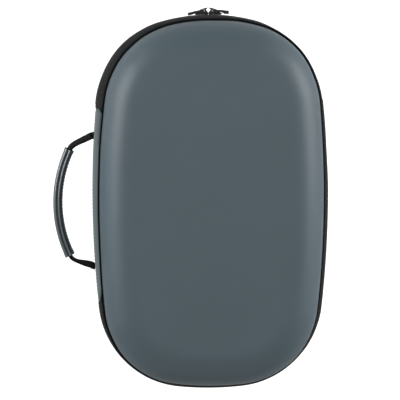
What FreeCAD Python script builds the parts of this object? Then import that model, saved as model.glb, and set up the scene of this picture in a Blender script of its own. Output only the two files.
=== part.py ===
"""Headphone carrying case: two moulded half shells joined by a folding spine and a two-way zip.

Millimetres. The case lies on its rear face: +Z comes out of the front face, +Y runs to the end
with the zip sliders, and the spine with its handle is on the -X side. The origin is the middle
of the flat rear face.
"""
import FreeCAD, Part
import math
import os
import Sketcher

from FreeCAD import Placement, Rotation, Vector

SIZES = {
    # Outline of the zip band: eight tangent arcs, mirrored about the long axis.
    "half_wide": 100.5,
    "half_long": 160.5,
    "side_radius": 900.0,
    "side_centre_y": 7.0,
    "upper_end_radius": 153.0,
    "lower_end_radius": 257.0,
    "upper_corner_radius": 78.0,
    "lower_corner_radius": 76.0,
    # Section through the two shells and the band between them.
    "shell_depth": 45.0,
    "half_band": 13.0,
    "face_fillet": 38.0,
    "rim_inset": 3.0,
    "wall": 5.0,
    "lining_thick": 1.0,
    "binding_thick": 0.8,
    "rim_cap": 1.0,
    "binding_depth": 5.0,
    "piping_radius": 1.2,
    # Zip.
    "tape_thick": 1.8,
    "tape_lap": 1.5,
    "tape_height": 11.6,
    "coil_width": 2.3,
    "coil_proud": 0.5,
    "coil_thick": 2.6,
    # Spine.
    "spine_low_y": 84.0,
    "spine_high_y": 81.0,
    "spine_proud": 1.2,
    "spine_cover_thick": 1.4,
    "spine_board_thick": 1.2,
    "spine_lining_thick": 0.8,
    "fold_gap": 0.3,
    "board_margin": 3.0,
    "zip_end_gap": 0.5,
    # Handle.
    "grip_centre_x": 24.3,
    "grip_radius": 106.6,
    "grip_end_y": 44.2,
    "handle_root_x": 106.0,
    "handle_root_y": 54.8,
    "strap_bend_radius": 14.0,
    "strap_half_thick": 1.3,
    "strap_half_wide": 8.0,
    "grip_core_radius": 2.9,
    "grip_skin": 1.0,
    "grip_straight": 6.1,
    "anchor_reach": 105.7,
    "anchor_base": 98.0,
    "anchor_half_base": 11.6,
    "anchor_y": 54.2,
    "anchor_thick": 3.2,
    # Insert and pocket.
    "tray_top": 40.0,
    "tray_floor": 10.0,
    "tray_border": 12.0,
    "recess_fillet": 24.0,
    "island_half_wide": 30.0,
    "island_low_y": 12.0,
    "island_high_y": 62.0,
    "pocket_rise": 3.0,
    "pocket_thick": 0.8,
    "pocket_edge_y": 18.0,
    "hem_wide": 8.0,
    "hem_thick": 2.0,
    "hem_drop": 0.6,
    # Zip sliders and pulls, in a frame whose y axis is a radius of the upper end arc.
    "slider_half": 5.75,
    "slider_half_wide": 4.65,
    "slider_air": 0.35,
    "slider_under_air": 0.45,
    "plate_thick": 1.4,
    "under_plate_thick": 1.2,
    "post_half_thick": 0.3,
    "post_long": 2.5,
    "lip_wide": 1.2,
    "lip_drop": 0.55,
    "pivot_back": 1.75,
    "pivot_rise": 1.5,
    "bridge_inner": 1.15,
    "bridge_outer": 2.35,
    "bridge_half_wide": 1.2,
    "pull_bar_radius": 0.8,
    "pull_half_thick": 0.7,
    "pull_half_wide": 2.9,
    "pull_arm_wide": 1.2,
    "pull_eye": 4.2,
    "pull_length": 13.5,
    "pull_hole_radius": 1.2,
    "slider_turn_left": 2.74,
    "slider_turn_right": 1.68,
}

doc = FreeCAD.newDocument("carrying_case")
sheet = doc.addObject("Spreadsheet::Sheet", "Sizes")
for row, (alias, number) in enumerate(SIZES.items(), start=1):
    sheet.set(f"A{row}", alias)
    sheet.set(f"B{row}", str(number))
    sheet.setAlias(f"B{row}", alias)
doc.recompute()

REAR_RIM = ("shell_depth",)
MIDDLE = ("shell_depth", "half_band")
FRONT_RIM = ("shell_depth", "half_band", "half_band")
SHELL = ("rim_inset",)
CAVITY = ("rim_inset", "wall")
LINED = ("rim_inset", "wall", "lining_thick")
BOUND = ("rim_inset", "wall", "lining_thick", "binding_thick")
nodes = []


def taken(*terms):
    """The same sizes with their signs turned round."""
    return tuple(term[1:] if term[0] == "-" else "-" + term for term in terms)


def amount(terms):
    """The number that a list of size names adds up to; a minus in front takes one away."""
    return sum(-SIZES[term[1:]] if term[0] == "-" else SIZES[term] for term in terms)


def formula(terms, scale=1):
    """The same sum as an expression on the spreadsheet."""
    text = "0"
    for term in terms:
        text += f" - Sizes.{term[1:]}" if term[0] == "-" else f" + Sizes.{term}"
    return f"({text}) * {scale}"


# ---------------------------------------------------------------- sketches and features

def new_body(name, kept=True):
    """A PartDesign body; one that only helps to cut another is not kept as a node."""
    body = doc.addObject("PartDesign::Body", name)
    body.Label = name
    if kept:
        nodes.append(body)
    return body


def sketch_on(body, role, name):
    """An empty sketch on one of the body's own origin planes."""
    sketch = body.newObject("Sketcher::SketchObject", name)
    plane = next(item for item in body.Origin.OriginFeatures if item.Role == role)
    sketch.AttachmentSupport = [(plane, "")]
    sketch.MapMode = "FlatFace"
    return sketch


def level_sketch(body, name, height):
    """A horizontal sketch at a height given by size names."""
    sketch = sketch_on(body, "XY_Plane", name)
    sketch.setExpression("AttachmentOffset.Base.z", formula(height))
    return sketch


def bind(sketch, constraint, terms, scale=1):
    """Adds a constraint and ties its value to the spreadsheet."""
    index = sketch.addConstraint(constraint)
    sketch.setExpression(f"Constraints[{index}]", formula(terms, scale))


def place_x(sketch, geometry, point, terms, sign=1):
    """Fixes a point's x at the sum of the terms, left of the origin when sign is -1."""
    ends = (-1, 1, geometry, point) if sign > 0 else (geometry, point, -1, 1)
    bind(sketch, Sketcher.Constraint("DistanceX", *ends, amount(terms)), terms)


def place_y(sketch, geometry, point, terms, sign=1):
    ends = (-1, 1, geometry, point) if sign > 0 else (geometry, point, -1, 1)
    bind(sketch, Sketcher.Constraint("DistanceY", *ends, amount(terms)), terms)


def arc(centre, radius, start, end):
    return Part.ArcOfCircle(Part.Circle(centre, Vector(0, 0, 1), radius), start, end)


def corner_centre(end_centre, end_radius, corner_radius, up):
    """Centre of the right-hand corner arc that touches the side arc and an end arc inside."""
    side_centre = Vector(SIZES["half_wide"] - SIZES["side_radius"], SIZES["side_centre_y"], 0)
    side_reach = SIZES["side_radius"] - corner_radius
    end_reach = end_radius - corner_radius
    span = end_centre - side_centre
    along = (side_reach ** 2 - end_reach ** 2 + span.Length ** 2) / (2 * span.Length)
    across = math.sqrt(side_reach ** 2 - along ** 2)
    direction = span / span.Length
    normal = Vector(-direction.y, direction.x, 0)
    foot = side_centre + direction * along
    return max((foot + normal * across, foot - normal * across), key=lambda point: point.y * up)


def heading(start, end):
    return math.atan2(end.y - start.y, end.x - start.x)


def add_outline(sketch, inset):
    """Adds the case's closed outline, offset inwards: eight tangent arcs about fixed centres."""
    inner = amount(inset)
    right = Vector(SIZES["half_wide"] - SIZES["side_radius"], SIZES["side_centre_y"], 0)
    left = Vector(-right.x, right.y, 0)
    upper = Vector(0, SIZES["half_long"] - SIZES["upper_end_radius"], 0)
    lower = Vector(0, SIZES["lower_end_radius"] - SIZES["half_long"], 0)
    upper_right = corner_centre(upper, SIZES["upper_end_radius"], SIZES["upper_corner_radius"], 1)
    lower_right = corner_centre(lower, SIZES["lower_end_radius"], SIZES["lower_corner_radius"], -1)
    upper_left = Vector(-upper_right.x, upper_right.y, 0)
    lower_left = Vector(-lower_right.x, lower_right.y, 0)
    turn = 2 * math.pi
    joints = [
        heading(right, lower_right),
        heading(right, upper_right),
        heading(upper, upper_right),
        heading(upper, upper_left),
        heading(left, upper_left),
        heading(left, lower_left) + turn,
        heading(lower, lower_left) + turn,
        heading(lower, lower_right) + turn,
        heading(right, lower_right) + turn,
    ]
    arcs = [
        (right, "side_radius"),
        (upper_right, "upper_corner_radius"),
        (upper, "upper_end_radius"),
        (upper_left, "upper_corner_radius"),
        (left, "side_radius"),
        (lower_left, "lower_corner_radius"),
        (lower, "lower_end_radius"),
        (lower_right, "lower_corner_radius"),
    ]
    first = sketch.GeometryCount
    for index, (centre, radius) in enumerate(arcs):
        sketch.addGeometry(arc(centre, SIZES[radius] - inner, joints[index], joints[index + 1]))
    for index, (centre, radius) in enumerate(arcs):
        follower = first + (index + 1) % len(arcs)
        sketch.addConstraint(Sketcher.Constraint("Tangent", first + index, 2, follower, 1))
        terms = (radius,) + taken(*inset)
        reach = SIZES[radius] - inner
        bind(sketch, Sketcher.Constraint("Radius", first + index, reach), terms)
    place_x(sketch, first, 3, ("side_radius", "-half_wide"), -1)
    place_x(sketch, first + 4, 3, ("side_radius", "-half_wide"))
    place_y(sketch, first, 3, ("side_centre_y",))
    place_y(sketch, first + 4, 3, ("side_centre_y",))
    for index, terms in ((2, ("half_long", "-upper_end_radius")),
                         (6, ("lower_end_radius", "-half_long"))):
        sketch.addConstraint(Sketcher.Constraint("PointOnObject", first + index, 3, -2))
        place_y(sketch, first + index, 3, terms)


def add_rectangle(sketch, low_x, high_x, low_y, high_y):
    """Adds a rectangle; each side is (size names, sign of that side of the origin)."""
    first = sketch.GeometryCount
    x0, x1, y0, y1 = [amount(terms) * sign for terms, sign in (low_x, high_x, low_y, high_y)]
    corners = [Vector(x0, y0, 0), Vector(x1, y0, 0), Vector(x1, y1, 0), Vector(x0, y1, 0)]
    for index in range(4):
        sketch.addGeometry(Part.LineSegment(corners[index], corners[(index + 1) % 4]))
    for index in range(4):
        follower = first + (index + 1) % 4
        sketch.addConstraint(Sketcher.Constraint("Coincident", first + index, 2, follower, 1))
        kind = "Vertical" if index % 2 else "Horizontal"
        sketch.addConstraint(Sketcher.Constraint(kind, first + index))
    place_x(sketch, first, 1, *low_x)
    place_x(sketch, first, 2, *high_x)
    place_y(sketch, first, 1, *low_y)
    place_y(sketch, first + 2, 1, *high_y)


def add_slot(sketch, centre_x, low_y, high_y, radius):
    """Adds an upright slot; each place is (size names, sign of that side of the origin)."""
    first = sketch.GeometryCount
    x, low, high = [amount(terms) * sign for terms, sign in (centre_x, low_y, high_y)]
    reach = amount(radius)
    sketch.addGeometry(arc(Vector(x, high, 0), reach, 0, math.pi))
    sketch.addGeometry(Part.LineSegment(Vector(x - reach, high, 0), Vector(x - reach, low, 0)))
    sketch.addGeometry(arc(Vector(x, low, 0), reach, math.pi, 2 * math.pi))
    sketch.addGeometry(Part.LineSegment(Vector(x + reach, low, 0), Vector(x + reach, high, 0)))
    for index in range(4):
        follower = first + (index + 1) % 4
        sketch.addConstraint(Sketcher.Constraint("Tangent", first + index, 2, follower, 1))
    bind(sketch, Sketcher.Constraint("Radius", first, reach), radius)
    for index, centre_y in ((0, high_y), (2, low_y)):
        if centre_x[0]:
            place_x(sketch, first + index, 3, *centre_x)
        else:
            sketch.addConstraint(Sketcher.Constraint("PointOnObject", first + index, 3, -2))
        place_y(sketch, first + index, 3, *centre_y)


def pad(body, sketch, length, name):
    feature = body.newObject("PartDesign::Pad", name)
    feature.Profile = sketch
    feature.setExpression("Length", formula(length))
    doc.recompute()
    return feature


def pocket(body, sketch, length, name):
    """Cuts downwards from the sketch and makes sure that something was cut."""
    before = body.Shape.Volume
    feature = body.newObject("PartDesign::Pocket", name)
    feature.Profile = sketch
    feature.setExpression("Length", formula(length))
    doc.recompute()
    if not feature.Shape.Volume < before - 1:
        raise RuntimeError(f"{name} cuts nothing")
    return feature


def edges_at(shape, height):
    """Names of the edges that lie in a horizontal plane."""
    names = []
    for index, edge in enumerate(shape.Edges, start=1):
        box = edge.BoundBox
        if abs(box.ZMin - height) < 1e-3 and abs(box.ZMax - height) < 1e-3:
            names.append(f"Edge{index}")
    return names


def fillet(body, base, height, radius, name):
    feature = body.newObject("PartDesign::Fillet", name)
    feature.Base = (base, edges_at(base.Shape, height))
    feature.setExpression("Radius", formula(radius))
    doc.recompute()
    return feature


# ---------------------------------------------------------------- moulded half shells

def dish(name, rim, face_sign, inset, sunk, wall):
    """A moulded dish of even thickness, open at its rim.

    face_sign is +1 when the closed face is above the rim. sunk is how far the face lies
    inside the shell's own face.
    """
    body = new_body(name)
    back = () if face_sign < 0 else rim
    start = tuple(sunk) if face_sign < 0 else back
    depth = ("shell_depth",) + taken(*sunk)
    outline = level_sketch(body, name + "_outline", start)
    add_outline(outline, inset)
    block = pad(body, outline, depth, name + "_block")
    face_height = amount(start) + (amount(depth) if face_sign > 0 else 0)
    radius = ("face_fillet",) + taken(*sunk)
    rounded = fillet(body, block, face_height, radius, name + "_round")
    rim_height = amount(rim)
    open_face = next(
        f"Face{index}" for index, face in enumerate(rounded.Shape.Faces, start=1)
        if abs(face.BoundBox.ZMin - rim_height) < 1e-3 and abs(face.BoundBox.ZMax - rim_height) < 1e-3
    )
    hollow = body.newObject("PartDesign::Thickness", name + "_hollow")
    hollow.Base = (rounded, [open_face])
    hollow.Reversed = True
    hollow.setExpression("Value", formula(wall))
    doc.recompute()
    if not hollow.Shape.Volume < rounded.Shape.Volume / 2:
        raise RuntimeError(f"{name} is not hollow")
    return body


dish("rear_shell", REAR_RIM, -1, SHELL, (), ("wall",))
dish("rear_lining", REAR_RIM, -1, CAVITY, ("wall",), ("lining_thick",))
dish("front_shell", FRONT_RIM, 1, SHELL, (), ("wall",))
dish("front_lining", FRONT_RIM, 1, CAVITY, ("wall",), ("lining_thick",))


# ---------------------------------------------------------------- rings round the rim

def open_at_spine(body, top, depth, name):
    """Cuts a ring away where the spine takes its place."""
    sketch = level_sketch(body, name, top)
    add_rectangle(
        sketch,
        (("half_wide", "side_centre_y"), -1),
        (("half_wide", "-half_band"), -1),
        (("spine_low_y", "zip_end_gap"), -1),
        (("spine_high_y", "zip_end_gap"), 1),
    )
    pocket(body, sketch, depth, name + "_cut")


def ring(body, name, outer, inner, low, height):
    sketch = level_sketch(body, name, low)
    add_outline(sketch, outer)
    add_outline(sketch, inner)
    pad(body, sketch, height, name + "_band")


def zip_tape(name, low):
    """Woven tape of one zip half, sewn round the shell's rim and stopping at the spine."""
    body = new_body(name)
    height = ("tape_height",)
    ring(body, name + "_ring", (), ("tape_thick",), low, height)
    open_at_spine(body, low + height, height, name + "_end")


def zip_coil(name, low):
    body = new_body(name)
    ring(body, name + "_ring", ("-coil_proud",), ("coil_thick", "-coil_proud"), low, ("coil_width",))
    open_at_spine(body, low + ("coil_width",), ("coil_width",), name + "_end")


def rim_binding(name, rim, face_sign):
    """Bias binding over the raw edge of shell and lining: a cap and an inside leg."""
    body = new_body(name)
    cap_low = rim + ("-rim_cap",) if face_sign > 0 else rim
    ring(body, name + "_cap", ("tape_thick",), LINED, cap_low, ("rim_cap",))
    leg_low = cap_low if face_sign > 0 else rim + ("-binding_depth",)
    ring(body, name + "_leg", LINED, BOUND, leg_low, ("rim_cap", "binding_depth"))


def rim_piping(name, height):
    """Round piping in the corner between the shell's side and the zip tape."""
    body = new_body(name)
    centre = ("rim_inset", "-piping_radius")
    path = level_sketch(body, name + "_path", height)
    add_outline(path, centre)
    section = sketch_on(body, "XZ_Plane", name + "_section")
    section.setExpression("AttachmentOffset.Base.z", formula(("side_centre_y",), -1))
    x = SIZES["half_wide"] - amount(centre)
    section.addGeometry(Part.Circle(Vector(x, amount(height), 0), Vector(0, 0, 1), SIZES["piping_radius"]))
    bind(section, Sketcher.Constraint("Radius", 0, SIZES["piping_radius"]), ("piping_radius",))
    place_x(section, 0, 3, ("half_wide", "-rim_inset", "piping_radius"))
    place_y(section, 0, 3, height)
    doc.recompute()
    sweep = body.newObject("PartDesign::AdditivePipe", name + "_sweep")
    sweep.Profile = section
    sweep.Spine = (path, [f"Edge{index}" for index in range(1, len(path.Shape.Edges) + 1)])
    doc.recompute()


rim_piping("rear_piping", REAR_RIM + ("-tape_lap", "-piping_radius"))
rim_piping("front_piping", FRONT_RIM + ("tape_lap", "piping_radius"))

zip_tape("rear_zip_tape", REAR_RIM + ("-tape_lap",))
zip_tape("front_zip_tape", FRONT_RIM + ("tape_lap", "-tape_height"))
zip_coil("rear_zip_coil", REAR_RIM + ("-tape_lap", "tape_height"))
zip_coil("front_zip_coil", FRONT_RIM + ("tape_lap", "-tape_height", "-coil_width"))
rim_binding("rear_binding", REAR_RIM, -1)
rim_binding("front_binding", FRONT_RIM, 1)


# ---------------------------------------------------------------- spine

def spine_strip(name, outer, inner, margin):
    """A strip that follows the side arc of the outline between the two folds."""
    body = new_body(name)
    sketch = level_sketch(body, name + "_plan", REAR_RIM + ("rim_cap", "fold_gap") + margin)
    centre = Vector(SIZES["side_radius"] - SIZES["half_wide"], SIZES["side_centre_y"], 0)
    high = ("spine_high_y",) + taken(*margin)
    low = ("spine_low_y",) + taken(*margin)
    for inset in (outer, inner):
        radius = SIZES["side_radius"] - amount(inset)
        start = math.pi - math.asin((amount(high) - centre.y) / radius)
        end = math.pi + math.asin((amount(low) + centre.y) / radius)
        sketch.addGeometry(arc(centre, radius, start, end))
    outside, inside = sketch.Geometry
    sketch.addGeometry(Part.LineSegment(outside.StartPoint, inside.StartPoint))
    sketch.addGeometry(Part.LineSegment(outside.EndPoint, inside.EndPoint))
    for line, point in ((2, 1), (3, 2)):
        sketch.addConstraint(Sketcher.Constraint("Coincident", line, 1, 0, point))
        sketch.addConstraint(Sketcher.Constraint("Coincident", line, 2, 1, point))
        sketch.addConstraint(Sketcher.Constraint("Horizontal", line))
    for index, inset in enumerate((outer, inner)):
        reach = SIZES["side_radius"] - amount(inset)
        bind(sketch, Sketcher.Constraint("Radius", index, reach), ("side_radius",) + taken(*inset))
        place_x(sketch, index, 3, ("side_radius", "-half_wide"))
        place_y(sketch, index, 3, ("side_centre_y",))
    place_y(sketch, 0, 1, high)
    place_y(sketch, 0, 2, low, -1)
    gaps = taken("rim_cap", "fold_gap", *margin)
    pad(body, sketch, ("half_band", "half_band") + gaps + gaps, name + "_strip")


COVER_INSIDE = ("-spine_proud", "spine_cover_thick")
BOARD_INSIDE = COVER_INSIDE + ("spine_board_thick",)
spine_strip("spine_cover", ("-spine_proud",), COVER_INSIDE, ())
spine_strip("spine_board", COVER_INSIDE, BOARD_INSIDE, ("board_margin",))
spine_strip("spine_lining", BOARD_INSIDE, BOARD_INSIDE + ("spine_lining_thick",), ())


# ---------------------------------------------------------------- handle

def mirror_front_to_back(body, feature, name):
    """Repeats a feature on the other side of the handle's middle."""
    mirrored = body.newObject("PartDesign::Mirrored", name)
    mirrored.Originals = [feature]
    plane = next(item for item in body.Origin.OriginFeatures if item.Role == "XZ_Plane")
    mirrored.MirrorPlane = (plane, [""])
    body.Tip = mirrored
    doc.recompute()


def strap_anchors():
    """The two places where the strap comes out of the spine: tapered so that the strap can lean."""
    body = new_body("strap_anchors")
    section = sketch_on(body, "XZ_Plane", "anchor_section")
    section.setExpression("AttachmentOffset.Base.z", formula(("anchor_y", "anchor_thick"), -1))
    section.setExpression("AttachmentOffset.Base.y", formula(MIDDLE))
    base_x = -SIZES["anchor_base"]
    half = SIZES["anchor_half_base"]
    corners = [Vector(base_x, -half, 0), Vector(base_x, half, 0), Vector(-SIZES["anchor_reach"], 0, 0)]
    for index in range(3):
        section.addGeometry(Part.LineSegment(corners[index], corners[(index + 1) % 3]))
    for index in range(3):
        section.addConstraint(Sketcher.Constraint("Coincident", index, 2, (index + 1) % 3, 1))
    place_x(section, 0, 1, ("anchor_base",), -1)
    place_x(section, 0, 2, ("anchor_base",), -1)
    place_y(section, 0, 1, ("anchor_half_base",), -1)
    place_y(section, 0, 2, ("anchor_half_base",))
    place_x(section, 2, 1, ("anchor_reach",), -1)
    section.addConstraint(Sketcher.Constraint("PointOnObject", 2, 1, -1))
    wedge = pad(body, section, ("anchor_thick",), "anchor_wedge")
    mirror_front_to_back(body, wedge, "anchor_pair")
    inside = level_sketch(body, "inside_spine", FRONT_RIM)
    centre = Vector(SIZES["side_radius"] - SIZES["half_wide"], SIZES["side_centre_y"], 0)
    reach = SIZES["side_radius"] + SIZES["spine_proud"]
    inside.addGeometry(Part.Circle(centre, Vector(0, 0, 1), reach))
    bind(inside, Sketcher.Constraint("Radius", 0, reach), ("side_radius", "spine_proud"))
    place_x(inside, 0, 3, ("side_radius", "-half_wide"))
    place_y(inside, 0, 3, ("side_centre_y",))
    pocket(body, inside, ("half_band", "half_band"), "inside_spine_cut")


def handle_webbing():
    """Flat woven strap: out of the spine, round a bend and along the grip, and back."""
    body = new_body("handle_webbing")
    path = level_sketch(body, "strap_path", MIDDLE)
    middle = Vector(-SIZES["grip_centre_x"], 0, 0)
    grip = SIZES["grip_radius"]
    bend = SIZES["strap_bend_radius"]
    root = Vector(-SIZES["handle_root_x"], SIZES["handle_root_y"], 0)
    join = math.pi - math.asin(SIZES["grip_end_y"] / grip)
    bend_centre = middle + Vector(math.cos(join), math.sin(join), 0) * (grip - bend)
    leave = heading(bend_centre, root) + math.acos(bend / (root - bend_centre).Length)
    leave_point = bend_centre + Vector(math.cos(leave), math.sin(leave), 0) * bend
    path.addGeometry(Part.LineSegment(root, leave_point))
    path.addGeometry(arc(bend_centre, bend, leave, join))
    path.addGeometry(arc(middle, grip, join, math.pi))
    path.addConstraint(Sketcher.Constraint("Tangent", 0, 2, 1, 1))
    path.addConstraint(Sketcher.Constraint("Tangent", 1, 2, 2, 1))
    bind(path, Sketcher.Constraint("Radius", 1, bend), ("strap_bend_radius",))
    bind(path, Sketcher.Constraint("Radius", 2, grip), ("grip_radius",))
    place_x(path, 2, 3, ("grip_centre_x",), -1)
    path.addConstraint(Sketcher.Constraint("PointOnObject", 2, 3, -1))
    path.addConstraint(Sketcher.Constraint("PointOnObject", 2, 2, -1))
    place_y(path, 2, 1, ("grip_end_y",))
    place_x(path, 0, 1, ("handle_root_x",), -1)
    place_y(path, 0, 1, ("handle_root_y",))
    section = sketch_on(body, "XZ_Plane", "strap_section")
    section.setExpression("AttachmentOffset.Base.y", formula(MIDDLE))
    add_rectangle(section, *strap_rectangle(("grip_centre_x",)))
    doc.recompute()
    half = body.newObject("PartDesign::AdditivePipe", "strap_half")
    half.Profile = section
    half.Spine = (path, [f"Edge{index}" for index in range(1, len(path.Shape.Edges) + 1)])
    doc.recompute()
    mirror_front_to_back(body, half, "strap_whole")


def strap_rectangle(axis_x):
    """Sides of the strap's section, measured from an upright line axis_x left of the origin."""
    return (
        (axis_x + ("grip_radius", "strap_half_thick"), -1),
        (axis_x + ("grip_radius", "-strap_half_thick"), -1),
        (("strap_half_wide",), -1),
        (("strap_half_wide",), 1),
    )


def grip_layer(name, outer, hole):
    """A layer of the grip: a slot section turned about the grip's axis. hole adds its inside."""
    body = new_body(name)
    section = sketch_on(body, "XZ_Plane", name + "_section")
    section.setExpression("AttachmentOffset.Base.x", formula(("grip_centre_x",), -1))
    section.setExpression("AttachmentOffset.Base.y", formula(MIDDLE))
    add_slot(section, (("grip_radius",), -1), (("grip_straight",), -1), (("grip_straight",), 1), outer)
    hole(section)
    doc.recompute()
    turned = body.newObject("PartDesign::Revolution", name + "_turned")
    turned.Profile = section
    turned.ReferenceAxis = (section, ["V_Axis"])
    turned.Midplane = True
    turned.setExpression("Angle", "2 * asin(Sizes.grip_end_y / Sizes.grip_radius)")
    doc.recompute()


def core_hole(sketch):
    sides = ((("grip_straight",), -1), (("grip_straight",), 1))
    add_slot(sketch, (("grip_radius",), -1), *sides, ("grip_core_radius",))


def strap_hole(sketch):
    add_rectangle(sketch, *strap_rectangle(()))


strap_anchors()
handle_webbing()
grip_layer("grip_padding", ("grip_core_radius",), strap_hole)
grip_layer("grip_cover", ("grip_core_radius", "grip_skin"), core_hole)


# ---------------------------------------------------------------- insert and pocket

def headphone_tray():
    """Moulded insert: a recess all round a central island that the headband goes over."""
    outside = new_body("tray_block", kept=False)
    plan = level_sketch(outside, "tray_plan", ("wall", "lining_thick"))
    add_outline(plan, LINED)
    block = pad(outside, plan, ("tray_top", "-wall", "-lining_thick"), "tray_solid")
    floor = SIZES["wall"] + SIZES["lining_thick"]
    fillet(outside, block, floor, ("face_fillet", "-wall", "-lining_thick"), "tray_round")
    recess = new_body("tray_recess", kept=False)
    plan = level_sketch(recess, "recess_plan", ("tray_floor",))
    add_outline(plan, LINED + ("tray_border",))
    hollow = pad(recess, plan, ("tray_top", "-tray_floor"), "recess_solid")
    fillet(recess, hollow, SIZES["tray_floor"], ("recess_fillet",), "recess_round")
    island = level_sketch(recess, "island_plan", ("tray_top",))
    ends = ((("island_low_y",), 1), (("island_high_y",), 1))
    add_slot(island, ((), 1), *ends, ("island_half_wide",))
    pocket(recess, island, ("tray_top", "-tray_floor"), "island")
    tray = doc.addObject("Part::Cut", "headphone_tray")
    tray.Label = "headphone_tray"
    tray.Base = outside
    tray.Tool = recess
    nodes.append(tray)
    doc.recompute()


def lid_panel(name, low, height, low_y, high_y):
    """A flat layer across the lid's opening, cut to the stretch between two y values."""
    body = new_body(name)
    plan = level_sketch(body, name + "_plan", low)
    add_outline(plan, BOUND)
    pad(body, plan, height, name + "_layer")
    sides = ((("half_wide",), -1), (("half_wide",), 1))
    if low_y:
        below = level_sketch(body, name + "_below", low + height)
        add_rectangle(below, *sides, (("half_long",), -1), (low_y, 1))
        pocket(body, below, height, name + "_below_cut")
    above = level_sketch(body, name + "_above", low + height)
    add_rectangle(above, *sides, (high_y, 1), (("half_long",), 1))
    pocket(body, above, height, name + "_above_cut")


headphone_tray()
lid_panel("mesh_pocket", FRONT_RIM + ("pocket_rise",), ("pocket_thick",), (), ("pocket_edge_y",))
lid_panel("pocket_hem", FRONT_RIM + ("pocket_rise", "-hem_drop"), ("hem_thick",),
          ("pocket_edge_y",), ("pocket_edge_y", "hem_wide"))


# ---------------------------------------------------------------- zip sliders and pulls

# Slider frame: x runs outwards along the zip (side is +1 to the right, -1 to the left), y is a
# radius of the upper end arc and z is up. Each finished piece is then turned about that arc.
COIL_TOP = ("upper_end_radius", "coil_proud")
PLATE_LOW = COIL_TOP + ("slider_air",)
PLATE_HIGH = PLATE_LOW + ("plate_thick",)
PIVOT_HEIGHT = PLATE_HIGH + ("pivot_rise",)
UNDER_HIGH = COIL_TOP + ("-coil_thick", "-slider_under_air")
PIVOT = ("-pivot_back",)


def place(solid, x, y, z):
    for axis, terms in zip("xyz", (x, y, z)):
        solid.setExpression(f"Placement.Base.{axis}", formula(terms))


def slab(name, side, near_x, far_x, low_y, high_y, low_z, high_z):
    """A box between two distances outwards, mirrored for the left-hand slider."""
    solid = doc.addObject("Part::Box", name)
    solid.setExpression("Length", formula(far_x + taken(*near_x)))
    solid.setExpression("Width", formula(high_y + taken(*low_y)))
    solid.setExpression("Height", formula(high_z + taken(*low_z)))
    place(solid, near_x if side > 0 else taken(*far_x), low_y, low_z)
    return solid


def rod(name, side, x, y, low_z, high_z, radius):
    """An upright cylinder along the zip's width."""
    solid = doc.addObject("Part::Cylinder", name)
    solid.setExpression("Radius", formula(radius))
    solid.setExpression("Height", formula(high_z + taken(*low_z)))
    place(solid, x if side > 0 else taken(*x), y, low_z)
    return solid


def disc(name, side, x, low_y, high_y, radius):
    """A cylinder standing on the slider's plate."""
    solid = doc.addObject("Part::Cylinder", name)
    solid.Placement = Placement(Vector(0, 0, 0), Rotation(Vector(1, 0, 0), -90))
    solid.setExpression("Radius", formula(radius))
    solid.setExpression("Height", formula(high_y + taken(*low_y)))
    place(solid, x if side > 0 else taken(*x), low_y, MIDDLE)
    return solid


def joined(name, solids):
    fuse = doc.addObject("Part::MultiFuse", name)
    fuse.Shapes = solids
    return fuse


def finish_on_arc(name, whole, holes, turn):
    """Cuts the holes out and turns the piece to its place on the zip."""
    piece = doc.addObject("Part::Cut", name)
    piece.Label = name
    piece.Base = whole
    piece.Tool = holes
    piece.Placement = Placement(Vector(0, 0, 0), Rotation(Vector(0, 0, 1), turn))
    place(piece, (), ("half_long", "-upper_end_radius"), ())
    nodes.append(piece)
    doc.recompute()


def slider(name, side, turn):
    """Slider with one side open, so that the front coil lifts out of it with the lid."""
    ends = (("-slider_half",), ("slider_half",))
    low_z = MIDDLE + ("-slider_half_wide",)
    width = (low_z, MIDDLE + ("slider_half_wide",))
    bridge_z = (MIDDLE + ("-bridge_half_wide",), MIDDLE + ("bridge_half_wide",))
    post_z = (MIDDLE + ("-post_half_thick",), MIDDLE + ("post_half_thick",))
    lip_z = (low_z, low_z + ("lip_wide",))
    post_x = (("-slider_half",), ("-slider_half", "post_long"))
    outer_x = (PIVOT + ("-bridge_outer",), PIVOT + ("bridge_outer",))
    inner_x = (PIVOT + ("-bridge_inner",), PIVOT + ("bridge_inner",))
    whole = joined(name + "_whole", [
        slab(name + "_plate", side, *ends, PLATE_LOW, PLATE_HIGH, *width),
        slab(name + "_under_plate", side, *ends, UNDER_HIGH + ("-under_plate_thick",), UNDER_HIGH, *width),
        slab(name + "_post", side, *post_x, UNDER_HIGH, PLATE_LOW, *post_z),
        slab(name + "_lip", side, *ends, PLATE_LOW + ("-lip_drop",), PLATE_LOW, *lip_z),
        slab(name + "_bridge_legs", side, *outer_x, PLATE_HIGH, PIVOT_HEIGHT, *bridge_z),
        rod(name + "_bridge_top", side, PIVOT, PIVOT_HEIGHT, *bridge_z, ("bridge_outer",)),
    ])
    holes = joined(name + "_eye", [
        slab(name + "_eye_legs", side, *inner_x, PLATE_HIGH, PIVOT_HEIGHT, *bridge_z),
        rod(name + "_eye_top", side, PIVOT, PIVOT_HEIGHT, *bridge_z, ("bridge_inner",)),
    ])
    finish_on_arc(name, whole, holes, turn)


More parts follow.
